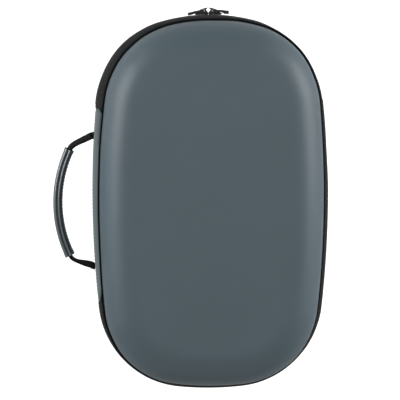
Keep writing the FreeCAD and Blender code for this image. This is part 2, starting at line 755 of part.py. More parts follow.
def pull(name, side, turn):
    """Pull tab whose bar runs under the slider's bridge; it lies outwards along the zip."""
    low_y = PIVOT_HEIGHT + ("-pull_half_thick",)
    thick = (low_y, PIVOT_HEIGHT + ("pull_half_thick",))
    low_z = MIDDLE + ("-pull_half_wide",)
    high_z = MIDDLE + ("pull_half_wide",)
    eye_x = PIVOT + ("pull_eye",)
    tip_x = PIVOT + ("pull_length", "-pull_half_wide")
    whole = joined(name + "_whole", [
        rod(name + "_bar", side, PIVOT, PIVOT_HEIGHT, low_z, high_z, ("pull_bar_radius",)),
        slab(name + "_arm_low", side, PIVOT, eye_x, *thick, low_z, low_z + ("pull_arm_wide",)),
        slab(name + "_arm_high", side, PIVOT, eye_x, *thick, high_z + ("-pull_arm_wide",), high_z),
        slab(name + "_tab", side, eye_x, tip_x, *thick, low_z, high_z),
        disc(name + "_tip", side, tip_x, *thick, ("pull_half_wide",)),
    ])
    hole = disc(name + "_hole", side, tip_x, *thick, ("pull_hole_radius",))
    finish_on_arc(name, whole, hole, turn)


for side_name, side, angle in (("left", -1, SIZES["slider_turn_left"]),
                               ("right", 1, -SIZES["slider_turn_right"])):
    slider("slider_" + side_name, side, angle)
    pull("pull_" + side_name, side, angle)


# ---------------------------------------------------------------- checks and export

doc.recompute()
for item in doc.Objects:
    if "Invalid" in item.State or "Error" in item.State:
        raise RuntimeError(f"{item.Label} failed: {item.State}")
os.makedirs("parts", exist_ok=True)
for node in nodes:
    if node.Shape.isNull() or not node.Shape.isValid() or not node.Shape.Solids:
        raise RuntimeError(f"{node.Label} has no valid solid")
    node.Shape.exportStep(f"parts/{node.Label}.step")
    print(f"{node.Label}: {len(node.Shape.Solids)} solid, {node.Shape.Volume / 1000:.2f} cm3")
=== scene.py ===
"""Headphone carrying case: the looks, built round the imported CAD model.

Metres, in the frame of the CAD model: the case lies on its rear face, +Z comes out of the front
face, +Y runs to the end with the zip sliders and the spine with its handle is on the -X side.
"Inset" is a distance inwards from the outer outline of the zip band, and "depth" is a distance
from the outer face of a half, so one profile serves the rear half and the front half alike.
"""

import bmesh
import bpy
import math

from mathutils import Matrix, Vector


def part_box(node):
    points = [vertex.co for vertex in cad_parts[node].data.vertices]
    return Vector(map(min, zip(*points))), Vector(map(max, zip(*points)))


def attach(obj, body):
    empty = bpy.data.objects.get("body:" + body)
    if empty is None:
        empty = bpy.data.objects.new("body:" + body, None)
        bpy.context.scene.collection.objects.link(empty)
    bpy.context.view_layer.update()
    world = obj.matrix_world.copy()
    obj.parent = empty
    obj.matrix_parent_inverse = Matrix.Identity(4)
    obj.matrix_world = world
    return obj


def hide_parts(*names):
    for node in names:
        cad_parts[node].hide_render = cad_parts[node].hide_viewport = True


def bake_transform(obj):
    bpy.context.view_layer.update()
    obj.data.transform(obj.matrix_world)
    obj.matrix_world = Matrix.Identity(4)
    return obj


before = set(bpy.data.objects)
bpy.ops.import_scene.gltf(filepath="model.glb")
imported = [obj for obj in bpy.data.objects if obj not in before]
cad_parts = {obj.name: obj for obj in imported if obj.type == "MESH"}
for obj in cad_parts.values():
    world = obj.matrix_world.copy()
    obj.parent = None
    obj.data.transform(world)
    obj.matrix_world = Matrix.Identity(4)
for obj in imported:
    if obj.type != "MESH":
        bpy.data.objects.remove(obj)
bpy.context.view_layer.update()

MM = 0.001
TURN = 2 * math.pi

# ---- sizes

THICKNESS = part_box("front_shell")[1].z
MIDDLE = THICKNESS / 2
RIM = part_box("rear_shell")[1].z
HALF_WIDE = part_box("rear_zip_tape")[1].x
HALF_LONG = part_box("rear_zip_tape")[1].y
SPINE_LOW_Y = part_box("spine_cover")[0].y
SPINE_HIGH_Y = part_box("spine_cover")[1].y

SIDE_RADIUS = 900 * MM
SIDE_CENTRE_Y = 7 * MM
UPPER_END_RADIUS = 153 * MM
LOWER_END_RADIUS = 257 * MM
UPPER_CORNER_RADIUS = 78 * MM
LOWER_CORNER_RADIUS = 76 * MM

RIM_INSET = 3 * MM
FACE_FILLET = 38 * MM
WALL = 5 * MM
LINING_THICK = 1 * MM
PIPING_INSET = 1.8 * MM
PIPING_DEPTH = 42.3 * MM
PIPING_RADIUS = 1.2 * MM
ZIP_GAP_IN_SPINE = 0.5 * MM

COIL_PITCH = 1.5 * MM
COIL_WIRE = 0.36 * MM

GRIP_CENTRE_X = -24.3 * MM
GRIP_RADIUS = 106.6 * MM
GRIP_HALF_ANGLE = math.asin(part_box("grip_padding")[1].y / GRIP_RADIUS)

SLIDER_TURNS = {"left": math.radians(2.74), "right": math.radians(-1.68)}
COIL_TOP = UPPER_END_RADIUS + 0.5 * MM


# ---- outline of the case

class Station:
    """One place on the outline: the arc it is on, and which way is out."""

    def __init__(self, centre, radius, angle):
        self.centre = centre
        self.radius = radius
        self.angle = angle
        self.out = Vector((math.cos(angle), math.sin(angle)))

    def at(self, inset, z):
        flat = self.centre + self.out * (self.radius - inset)
        return Vector((flat.x, flat.y, z))

    def outward(self):
        return Vector((self.out.x, self.out.y, 0))


def corner_centre(side_centre, end_centre, end_radius, corner_radius, up):
    """Centre of the right-hand corner arc that touches the side arc and an end arc inside."""
    side_reach = SIDE_RADIUS - corner_radius
    end_reach = end_radius - corner_radius
    span = end_centre - side_centre
    along = (side_reach ** 2 - end_reach ** 2 + span.length_squared) / (2 * span.length)
    across = math.sqrt(side_reach ** 2 - along ** 2)
    direction = span.normalized()
    normal = Vector((-direction.y, direction.x))
    foot = side_centre + direction * along
    return max((foot + normal * across, foot - normal * across), key=lambda point: point.y * up)


def heading(start, end):
    return math.atan2(end.y - start.y, end.x - start.x)


def outline_arcs():
    """The eight tangent arcs of the outline, anticlockwise from the lower right-hand corner."""
    right = Vector((HALF_WIDE - SIDE_RADIUS, SIDE_CENTRE_Y))
    left = Vector((-right.x, right.y))
    upper = Vector((0, HALF_LONG - UPPER_END_RADIUS))
    lower = Vector((0, LOWER_END_RADIUS - HALF_LONG))
    upper_right = corner_centre(right, upper, UPPER_END_RADIUS, UPPER_CORNER_RADIUS, 1)
    lower_right = corner_centre(right, lower, LOWER_END_RADIUS, LOWER_CORNER_RADIUS, -1)
    circles = [
        (right, SIDE_RADIUS),
        (upper_right, UPPER_CORNER_RADIUS),
        (upper, UPPER_END_RADIUS),
        (Vector((-upper_right.x, upper_right.y)), UPPER_CORNER_RADIUS),
        (left, SIDE_RADIUS),
        (Vector((-lower_right.x, lower_right.y)), LOWER_CORNER_RADIUS),
        (lower, LOWER_END_RADIUS),
        (lower_right, LOWER_CORNER_RADIUS),
    ]
    joints = []
    for index in range(9):
        wide, corner = sorted(((index - 1) % 8, index % 8), key=lambda number: number % 2)
        turn = heading(circles[wide][0], circles[corner][0])
        joints.append(turn + TURN if index > LEFT_SIDE else turn)
    arcs = []
    along = 0.0
    for index, (centre, radius) in enumerate(circles):
        arcs.append((centre, radius, joints[index], along))
        along += radius * (joints[index + 1] - joints[index])
    return arcs, along


LEFT_SIDE = 4
ARCS, LOOP = outline_arcs()


def station(along):
    """The place on the outline that is this far round the loop."""
    along %= LOOP
    centre, radius, start, begins = [arc for arc in ARCS if arc[3] <= along][-1]
    return Station(centre, radius, start + (along - begins) / radius)


def left_side_along(y):
    """How far round the loop the left-hand side passes this y."""
    centre, radius, start, begins = ARCS[LEFT_SIDE]
    return begins + (math.pi - math.asin((y - centre.y) / radius) - start) * radius


def stations_between(first, last, step):
    count = max(2, round((last - first) / step))
    return [station(first + (last - first) * index / count) for index in range(count + 1)]


def whole_loop(step):
    return stations_between(0, LOOP, step)[:-1]


SPINE_START = left_side_along(SPINE_HIGH_Y)
SPINE_END = left_side_along(SPINE_LOW_Y)
ZIP_START = left_side_along(SPINE_LOW_Y - ZIP_GAP_IN_SPINE)
ZIP_END = left_side_along(SPINE_HIGH_Y + ZIP_GAP_IN_SPINE) + LOOP


def smoothstep(value, low, high):
    share = max(0.0, min(1.0, (value - low) / (high - low)))
    return share * share * (3 - 2 * share)


# Two slow variations round the loop, as (degrees of the outward direction, mm): how far the slack
# zip tape swells outwards, and how far the moulded rim is drawn in from the CAD shell's.
SWELL = [
    (0, 1.3), (3, 0.4), (8, -0.6), (21, -1.0), (42, -0.6), (63, -0.6), (76, 0), (104, 0),
    (117, 0.3), (137, 0.8), (158, 0.5), (175, 1.0), (178, 0.3), (184, 0.3), (186, 0.6),
    (225, 0.5), (250, 0.7), (285, 0.7), (315, 0.6), (340, 1.0), (352, 1.4), (360, 1.3),
]
DRAW = [
    (0, 1.8), (5, 2.0), (21, 2.0), (42, 1.0), (63, 0.9), (79, 1.2), (90, 2.3), (100, 2.1),
    (117, 2.8), (137, 3.5), (158, 4.2), (174, 4.2), (178, 3.0), (182, 2.6), (186, 1.8),
    (200, 1.4), (221, 0.6), (242, 1.0), (263, 1.9), (297, 1.9), (318, 1.6), (340, 1.8),
    (355, 1.6), (360, 1.8),
]


def eased(table, place):
    """The value of a table of variations at a place, in metres, eased between its entries."""
    degrees = math.degrees(place.angle) % 360
    for (low, before), (high, after) in zip(table, table[1:]):
        if degrees <= high:
            return (before + (after - before) * smoothstep(degrees, low, high)) * MM


def swell(place):
    return eased(SWELL, place)


def draw(place):
    return eased(DRAW, place)


# ---- mesh helpers

def running_length(points, closed):
    """Distance along a row of points, with the way back to the first one if it is closed."""
    total = [0.0]
    follow = points[1:] + points[:1] if closed else points[1:]
    for here, there in zip(points, follow):
        total.append(total[-1] + (there - here).length)
    return total


def add_grid(mesh, rows, rows_closed=False, columns_closed=False, caps=True):
    """Quads between rows of points. Their UVs are metres along the rows and across them."""
    uv = mesh.loops.layers.uv.verify()
    verts = [[mesh.verts.new(point) for point in row] for row in rows]
    along = running_length([row[0] for row in rows], rows_closed)
    across = running_length(rows[0], columns_closed)
    for i in range(len(rows) if rows_closed else len(rows) - 1):
        for j in range(len(rows[0]) if columns_closed else len(rows[0]) - 1):
            i2 = (i + 1) % len(rows)
            j2 = (j + 1) % len(rows[0])
            face = mesh.faces.new((verts[i][j], verts[i2][j], verts[i2][j2], verts[i][j2]))
            corners = ((i, j), (i + 1, j), (i + 1, j + 1), (i, j + 1))
            for loop, (row, column) in zip(face.loops, corners):
                loop[uv].uv = (along[row], across[column])
    if columns_closed and not rows_closed and caps:
        mesh.faces.new(verts[0])
        mesh.faces.new(verts[-1])
    return verts


def tube_ring(centre, side, up, radius, sides):
    return [
        centre + (side * math.cos(TURN * k / sides) + up * math.sin(TURN * k / sides)) * radius
        for k in range(sides)
    ]

def squared_oval(count, wide_power, thick_power):
    """Points round a squared-off oval, as shares of its half width and half thickness."""
    points = []
    for k in range(count):
        wide = math.cos(TURN * k / count)
        thick = math.sin(TURN * k / count)
        points.append((
            math.copysign(abs(wide) ** wide_power, wide),
            math.copysign(abs(thick) ** thick_power, thick),
        ))
    return points


def add_tube(mesh, points, radius, sides, closed=False):
    """A round tube along points; its ring turns as little as it can from one to the next."""
    count = len(points)
    up = None
    rows = []
    for index, point in enumerate(points):
        before = points[index - 1] if index or closed else point
        after = points[(index + 1) % count] if index < count - 1 or closed else point
        along = (after - before).normalized()
        if up is None:
            up = along.orthogonal()
        up = (up - along * up.dot(along)).normalized()
        rows.append(tube_ring(point, along.cross(up), up, radius, sides))
    add_grid(mesh, rows, rows_closed=closed, columns_closed=True)


def add_prism(mesh, outline, holes, low, high):
    """A plate cut from flat outlines. low and high turn a flat point into its two faces' points."""
    uv = mesh.loops.layers.uv.verify()
    flat = bmesh.new()
    edges = []
    for ring in [outline] + holes:
        verts = [flat.verts.new((x, y, 0)) for x, y in ring]
        edges += [flat.edges.new((verts[k - 1], verts[k])) for k in range(len(verts))]
    bmesh.ops.triangle_fill(flat, use_beauty=True, edges=edges)
    flat.verts.index_update()
    bottom = [mesh.verts.new(low(vert.co.x, vert.co.y)) for vert in flat.verts]
    top = [mesh.verts.new(high(vert.co.x, vert.co.y)) for vert in flat.verts]
    for face in flat.faces:
        around = [vert.index for vert in face.verts]
        mesh.faces.new([bottom[k] for k in reversed(around)])
        mesh.faces.new([top[k] for k in around])
    for edge in flat.edges:
        if len(edge.link_faces) == 1:
            first, last = edge.verts[0].index, edge.verts[1].index
            mesh.faces.new((bottom[first], bottom[last], top[last], top[first]))
    for vert in flat.verts:
        for side in (bottom, top):
            for loop in side[vert.index].link_loops:
                loop[uv].uv = (vert.co.x, vert.co.y)
    flat.free()


def make_object(name, mesh, material, crease=38):
    """Turns a bmesh into an object with one material, smooth except at sharp edges."""
    bmesh.ops.remove_doubles(mesh, verts=mesh.verts, dist=0.004 * MM)
    bmesh.ops.dissolve_degenerate(mesh, edges=mesh.edges, dist=0.002 * MM)
    bmesh.ops.recalc_face_normals(mesh, faces=mesh.faces)
    data = bpy.data.meshes.new(name)
    mesh.to_mesh(data)
    mesh.free()
    data.polygons.foreach_set("use_smooth", [True] * len(data.polygons))
    data.set_sharp_from_angle(angle=math.radians(crease))
    data.materials.append(material)
    thing = bpy.data.objects.new(name, data)
    bpy.context.scene.collection.objects.link(thing)
    return thing


def settle(thing, slot, body, *nodes):
    """Says what a piece rides on and which CAD nodes it stands for, and hides those; slot, meant to
    name its finish, is not used.
    """
    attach(thing, body)
    if nodes:
        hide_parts(*nodes)
    return thing


def piece(name, mesh, material, slot, body, *nodes):
    """A finished piece that rides on one body."""
    return settle(make_object(name, mesh, material), slot, body, *nodes)

def add_bevel(thing, width):
    bevel = thing.modifiers.new("edge", "BEVEL")
    bevel.width = width
    bevel.segments = 2
    bevel.limit_method = "ANGLE"
    bevel.angle_limit = math.radians(35)
    bevel.harden_normals = False


def height(depth, front):
    """The height of a point this deep behind the outer face of a half."""
    return THICKNESS - depth if front else depth

def section_rows(places, profile, front):
    """The rows of a band's grid: its section at each place, for one half."""
    return [
        [place.at(inset, height(depth, front)) for inset, depth in profile(place)]
        for place in places
    ]

def in_mm(*pairs):
    return [(first * MM, second * MM) for first, second in pairs]


HALVES = (("rear", "base", False), ("front", "lid", True))


# ---- materials

class Shader:
    """A node material under construction: one principled shader and the nodes that feed it."""

    def __init__(self, name, colour, roughness, specular=0.5):
        self.material = bpy.data.materials.new(name)
        self.material.use_nodes = True
        self.tree = self.material.node_tree
        self.bsdf = self.tree.nodes["Principled BSDF"]
        self.bsdf.inputs["Base Color"].default_value = (*colour, 1)
        self.bsdf.inputs["Roughness"].default_value = roughness
        self.bsdf.inputs["Specular IOR Level"].default_value = specular

    def node(self, kind, inputs=None, **settings):
        """A new node. An input is a number, a colour or an output socket to link from."""
        made = self.tree.nodes.new("ShaderNode" + kind)
        for setting, value in settings.items():
            setattr(made, setting, value)
        for name, value in (inputs or {}).items():
            if isinstance(value, bpy.types.NodeSocket):
                self.tree.links.new(value, made.inputs[name])
            else:
                made.inputs[name].default_value = value
        return made

    def math(self, operation, first, second):
        made = self.node("Math", {0: first, 1: second}, operation=operation)
        return made.outputs[0]

    def place(self, stretch=(1, 1, 1)):
        """Where a point is in the frame of its piece, in metres."""
        where = self.node("TexCoord").outputs["Object"]
        if stretch == (1, 1, 1):
            return where
        return self.node("Mapping", {"Vector": where, "Scale": stretch}).outputs[0]

    def unwrapped(self, turn=0.0):
        """Metres along and across a strip."""
        where = self.node("TexCoord").outputs["UV"]
        inputs = {"Vector": where, "Rotation": (0, 0, turn)}
        return self.node("Mapping", inputs).outputs[0]

    def noise(self, where, size, detail=2.0, rough=0.5):
        inputs = {"Vector": where, "Scale": 1 / size, "Detail": detail, "Roughness": rough}
        return self.node("TexNoise", inputs).outputs["Fac"]

    def cells(self, where, size):
        inputs = {"Vector": where, "Scale": 1 / size}
        return self.node("TexVoronoi", inputs).outputs["Distance"]

    def ribs(self, where, pitch, direction):
        """Straight ribs a pitch apart, across one direction."""
        inputs = {"Vector": where, "Scale": TURN / (20 * pitch)}
        made = self.node("TexWave", inputs, bands_direction=direction)
        return made.outputs["Fac"]

    def between(self, value, low, high, to_low, to_high):
        inputs = {
            "Value": value, "From Min": low, "From Max": high, "To Min": to_low, "To Max": to_high,
        }
        return self.node("MapRange", inputs).outputs[0]

    def mix(self, share, first, second):
        """Mixes two colours."""
        made = self.node("Mix", data_type="RGBA")
        for index, value in ((0, share), (6, first), (7, second)):
            if isinstance(value, bpy.types.NodeSocket):
                self.tree.links.new(value, made.inputs[index])
            elif index:
                made.inputs[index].default_value = (*value, 1)
            else:
                made.inputs[index].default_value = value
        return made.outputs[2]

    def colour_from(self, socket):
        self.tree.links.new(socket, self.bsdf.inputs["Base Color"])

    def finish(self, gloss, roughness, layers):
        """Ties the roughness to a pattern; stacks bumps, as (pattern, height in mm, strength)."""
        self.tree.links.new(self.between(gloss, 0, 1, *roughness), self.bsdf.inputs["Roughness"])
        normal = None
        for pattern, high, strength in layers:
            inputs = {"Height": pattern, "Distance": high * MM, "Strength": strength}
            if normal is not None:
                inputs["Normal"] = normal
            normal = self.node("Bump", inputs).outputs["Normal"]
        self.tree.links.new(normal, self.bsdf.inputs["Normal"])
        return self.material

    def sheen(self, weight, roughness):
        self.bsdf.inputs["Sheen Weight"].default_value = weight
        self.bsdf.inputs["Sheen Roughness"].default_value = roughness


def shade(colour, factor):
    return tuple(channel * factor for channel in colour)


SLATE = (0.0525, 0.0755, 0.089)
STRIP_GREY = (0.108, 0.134, 0.140)
GRIP_GREY = (0.058, 0.073, 0.080)
BLACK_CLOTH = (0.0075, 0.0077, 0.0080)


def leather(name, colour, grain=0.55 * MM, roughness=(0.45, 0.53), specular=0.35):
    """Synthetic leather: fine pebbled grain, faint pores, slow mottling of colour and gloss."""
    skin = Shader(name, colour, roughness[0], specular)
    where = skin.place()
    slow = skin.noise(where, 45 * MM, 3.0, 0.6)
    fine = skin.noise(where, 1.6 * MM, 4.0, 0.6)
    pores = skin.cells(where, grain)
    toned = skin.mix(slow, shade(colour, 0.94), shade(colour, 1.06))
    in_pores = skin.between(pores, 0.0, 0.55, 0.25, 0.0)
    skin.colour_from(skin.mix(in_pores, toned, shade(colour, 0.72)))
    pebbles = skin.between(pores, 0.05, 0.6, 0.0, 1.0)
    layers = [(pebbles, 0.035, 0.6), (fine, 0.05, 0.5), (slow, 0.25, 0.6)]
    return skin.finish(fine, roughness, layers)

def woven(name, colour, warp, weft, depth=0.12, specular=0.08, sheen=0.03):
    """Plain woven tape: warp and weft ribs that take turns on top, with a little fuzz."""
    cloth = Shader(name, colour, 0.85, specular)
    where = cloth.unwrapped()
    weave = cloth.math("MULTIPLY", cloth.ribs(where, warp, "X"), cloth.ribs(where, weft, "Y"))
    fuzz = cloth.noise(cloth.place(), 0.35 * MM, 3.0, 0.7)
    slow = cloth.noise(cloth.place(), 22 * MM, 2.0)
    base = cloth.mix(weave, shade(colour, 0.62), shade(colour, 1.35))
    cloth.colour_from(cloth.mix(cloth.between(slow, 0.3, 0.7, 0.0, 0.35), base, shade(colour, 1.6)))
    cloth.sheen(sheen, 0.4)
    return cloth.finish(fuzz, (0.77, 0.93), [(weave, depth, 0.9), (fuzz, 0.05, 0.5)])

def twill(name, colour, pitch):
    """Webbing: diagonal ribs crossed by fine picks, worn a little paler on top."""
    cloth = Shader(name, colour, 0.8, 0.05)
    diagonal = cloth.ribs(cloth.unwrapped(turn=math.radians(32)), pitch, "X")
    picks = cloth.ribs(cloth.unwrapped(), pitch * 0.55, "X")
    weave = cloth.math("MULTIPLY", diagonal, cloth.between(picks, 0, 1, 0.55, 1.0))
    fuzz = cloth.noise(cloth.place(), 0.4 * MM, 3.0, 0.7)
    base = cloth.mix(weave, shade(colour, 0.4), shade(colour, 1.3))
    cloth.colour_from(cloth.mix(cloth.between(fuzz, 0.4, 0.8, 0.0, 0.25), base, shade(colour, 1.8)))
    cloth.sheen(0.015, 0.4)
    return cloth.finish(fuzz, (0.7, 0.9), [(weave, 0.2, 0.9), (fuzz, 0.06, 0.5)])

def brushed_knit(name, colour):
    """Brushed tricot lining: rows of tiny loops under a short soft nap."""
    cloth = Shader(name, colour, 0.92, 0.2)
    where = cloth.place()
    rows = cloth.ribs(where, 0.9 * MM, "Y")
    loops = cloth.math("MULTIPLY", rows, cloth.ribs(where, 0.7 * MM, "X"))
    nap = cloth.noise(cloth.place((1, 0.45, 1)), 0.5 * MM, 4.0, 0.75)
    slow = cloth.noise(where, 30 * MM, 3.0, 0.6)
    base = cloth.mix(nap, shade(colour, 0.7), shade(colour, 1.3))
    worn = cloth.between(slow, 0.35, 0.75, 0.0, 0.4)
    cloth.colour_from(cloth.mix(worn, base, shade(colour, 1.35)))
    cloth.sheen(0.55, 0.35)
    return cloth.finish(nap, (0.85, 1.0), [(loops, 0.08, 0.6), (nap, 0.12, 0.7)])

def thread(name, colour, pitch=0.5 * MM):
    """Twisted sewing thread."""
    cord = Shader(name, colour, 0.6, 0.4)
    twist = cord.ribs(cord.unwrapped(turn=math.radians(35)), pitch, "X")
    cord.colour_from(cord.mix(twist, shade(colour, 0.65), shade(colour, 1.3)))
    cord.sheen(0.2, 0.4)
    return cord.finish(twist, (0.5, 0.7), [(twist, 0.06, 0.8)])

def ribbed(name, colour, pitch, depth=0.18):
    """Grosgrain or elastic: strong ribs across the strip, fine yarns along it."""
    band = Shader(name, colour, 0.8, 0.3)
    cross = band.ribs(band.unwrapped(), pitch, "X")
    yarns = band.ribs(band.unwrapped(), pitch * 0.6, "Y")
    fuzz = band.noise(band.place(), 0.4 * MM, 3.0, 0.7)
    weave = band.math("MULTIPLY", cross, band.between(yarns, 0, 1, 0.7, 1.0))
    base = band.mix(weave, shade(colour, 0.55), shade(colour, 1.4))
    band.colour_from(band.mix(band.between(fuzz, 0.45, 0.8, 0.0, 0.35), base, shade(colour, 1.9)))
    band.sheen(0.25, 0.45)
    return band.finish(fuzz, (0.72, 0.9), [(weave, depth, 0.9), (fuzz, 0.05, 0.4)])

def nylon(name, colour):
    """Smooth monofilament with faint scuffs."""
    wire = Shader(name, colour, 0.38, 0.5)
    scuff = wire.noise(wire.place(), 0.8 * MM, 3.0, 0.6)
    slow = wire.noise(wire.place(), 14 * MM, 2.0)
    wire.colour_from(wire.mix(slow, shade(colour, 0.8), shade(colour, 1.25)))
    return wire.finish(scuff, (0.28, 0.5), [(scuff, 0.02, 0.5)])

def lacquer(name, colour):
    """Gloss black lacquer on die-cast metal: slight orange peel, and paler patches from a fine
    noise that are partly scuffs and partly painted glints.
    """
    paint = Shader(name, colour, 0.3, 0.15)
    paint.bsdf.inputs["Coat Weight"].default_value = 0.05
    paint.bsdf.inputs["Coat Roughness"].default_value = 0.1
    peel = paint.noise(paint.place(), 0.9 * MM, 2.0)
    scuff = paint.noise(paint.place((1, 1, 3)), 0.5 * MM, 5.0, 0.7)
    # Paler patches: partly scuffed lacquer and partly painted glints on the black metal.
    worn = paint.between(scuff, 0.62, 0.8, 0.0, 0.35)
    paint.colour_from(paint.mix(worn, colour, (0.06, 0.06, 0.065)))
    return paint.finish(scuff, (0.2, 0.4), [(peel, 0.02, 0.5)])

def stiffener(name, colour):
    """Plain pressed board with a faint fibrous tooth."""
    board = Shader(name, colour, 0.7, 0.3)
    fibre = board.noise(board.place((1, 0.25, 1)), 0.6 * MM, 4.0, 0.7)
    board.colour_from(board.mix(fibre, shade(colour, 0.8), shade(colour, 1.2)))
    return board.finish(fibre, (0.6, 0.85), [(fibre, 0.05, 0.6)])

def open_foam(name, colour):
    """Soft foam with small open cells."""
    foam = Shader(name, colour, 0.95, 0.15)
    holes = foam.cells(foam.place(), 0.7 * MM)
    lit = foam.between(holes, 0.1, 0.6, 0, 1)
    foam.colour_from(foam.mix(lit, shade(colour, 0.45), shade(colour, 1.2)))
    return foam.finish(holes, (0.85, 1.0), [(holes, 0.2, 0.8)])

SHELL_LEATHER = leather("shell_leather", SLATE)
SPINE_LEATHER = leather("spine_leather", STRIP_GREY, 0.5 * MM, (0.42, 0.52), 0.3)
GRIP_LEATHER = leather("grip_leather", GRIP_GREY, 0.45 * MM, (0.26, 0.36), 0.7)
LINING = brushed_knit("lining_knit", (0.030, 0.034, 0.038))
TRAY_CLOTH = brushed_knit("tray_knit", (0.036, 0.040, 0.044))
# The piping cord's near-black is partly its own dyed black and partly painted shade: it is made
# darker than the tape to stand for the shadow gap between the zip tape and the shell.
PIPING_CLOTH_AND_GAP_SHADE = woven("piping_cloth_and_gap_shade", (0.004, 0.0043, 0.0046), 0.5 * MM, 0.5 * MM, 0.05, 0.03, 0.0)
TAPE_CLOTH = woven("zip_tape_weave", (0.0175, 0.0180, 0.0185), 0.7 * MM, 0.55 * MM)
COIL_NYLON = nylon("coil_nylon", (0.012, 0.012, 0.013))
BINDING_CLOTH = ribbed("binding_rib", (0.016, 0.017, 0.018), 0.8 * MM)
WEBBING = twill("webbing_twill", BLACK_CLOTH, 1.3 * MM)
BLACK_THREAD = thread("black_thread", (0.018, 0.018, 0.019))
GREY_THREAD = thread("grey_thread", (0.075, 0.090, 0.098))
LACQUER = lacquer("black_lacquer", (0.006, 0.006, 0.0065))
BOARD = stiffener("spine_stiffener", (0.045, 0.045, 0.045))
FOAM = open_foam("grip_foam", (0.030, 0.030, 0.031))
NET_YARN = thread("net_yarn", (0.014, 0.014, 0.015), 0.35 * MM)
ELASTIC = ribbed("pocket_elastic", (0.018, 0.018, 0.019), 1.1 * MM, 0.22)


# ---- shells, linings and tray

INWARD_SHARES = (0.06, 0.14, 0.26, 0.42, 0.6, 0.8, 1.0)
CORE_HIGH_Y = 66 * MM
CORE_LOW_Y = -66 * MM
FACE_CROWN = 1.0 * MM
SHOULDER_DEPTH = 36.5 * MM
SHOULDER_POWER = 2.5


def quarter(inset, depth, across, down, power, steps):
    """A rounded corner from a wall to a face, squarer than an ellipse when power is above 2."""
    points = []
    for index in range(steps + 1):
        angle = math.pi / 2 * index / steps
        points.append((
            inset + across * (1 - max(0.0, math.cos(angle)) ** (2 / power)),
            depth + down * (1 - math.sin(angle) ** (2 / power)),
        ))
    return points


def to_the_middle(point, crown):
    """Points from the edge of a flat face to the case's middle line, with a slight crown."""
    core = Vector((0, max(CORE_LOW_Y, min(CORE_HIGH_Y, point.y)), point.z))
    points = []
    for share in INWARD_SHARES:
        rise = Vector((0, 0, crown * smoothstep(share, 0, 1)))
        points.append(point.lerp(core, share) + rise)
    return points


def drawn_in(inset, place):
    """An inset of the outer skin with the rim drawn in; the face keeps its place."""
    return inset + draw(place) * (1 - smoothstep(inset, 8 * MM, 41 * MM))


def bowl(name, front, outside, inside, material, step, crown=0.0, drawn=False):
    """A closed shell: two faces, each a profile from the rim that ends on the middle line."""
    mesh = bmesh.new()
    rows = []
    for place in whole_loop(step):
        outer = [
            place.at(drawn_in(inset, place) if drawn else inset, height(depth, front))
            for inset, depth in outside
        ]
        inner = [place.at(inset, height(depth, front)) for inset, depth in inside]
        rise = crown if front else 0.0
        row = list(reversed(to_the_middle(outer[-1], rise))) + outer[::-1]
        row += inner + to_the_middle(inner[-1], rise)
        rows.append(row)
    add_grid(mesh, rows, rows_closed=True)
    return make_object(name, mesh, material)


def shells():
    """The moulded skins, each with a rolled lip just above its piping."""
    inner = FACE_FILLET - WALL
    outside = [(inset, RIM - drop) for inset, drop in in_mm(
        (3.5, 0), (3.1, 0.4), (3.0, 1.2), (2.9, 4.0), (2.6, 4.6), (2.5, 5.2), (2.6, 5.8),
        (2.95, 6.4),
    )]
    outside += quarter(RIM_INSET, 0.0, FACE_FILLET, SHOULDER_DEPTH, SHOULDER_POWER, 26)
    inside = [(RIM_INSET + WALL - 0.6 * MM, RIM), (RIM_INSET + WALL, RIM - 0.6 * MM)]
    inside += quarter(RIM_INSET + WALL, WALL, inner, inner, 2.0, 10)
    for half, body, front in HALVES:
        name = half + "_shell_skin"
        shell = bowl(name, front, outside, inside, SHELL_LEATHER, 2.2 * MM, FACE_CROWN, True)
        settle(shell, "shell_leather", body, half + "_shell")


def linings():
    lined = RIM_INSET + WALL + LINING_THICK
    inner = FACE_FILLET - WALL
    for half, body, front in HALVES:
        outside = [(lined - LINING_THICK, RIM - 0.6 * MM)]
        outside += quarter(lined - LINING_THICK, WALL, inner, inner, 2.0, 8)
        inside = [(lined, RIM - 0.4 * MM)]
        fillet = inner - LINING_THICK
        inside += quarter(lined, WALL + LINING_THICK, fillet, fillet, 2.0, 10)
        lining = bowl(half + "_lining_cloth", front, outside, inside, LINING, 4 * MM)
        settle(lining, "lining_fabric", body, half + "_lining")


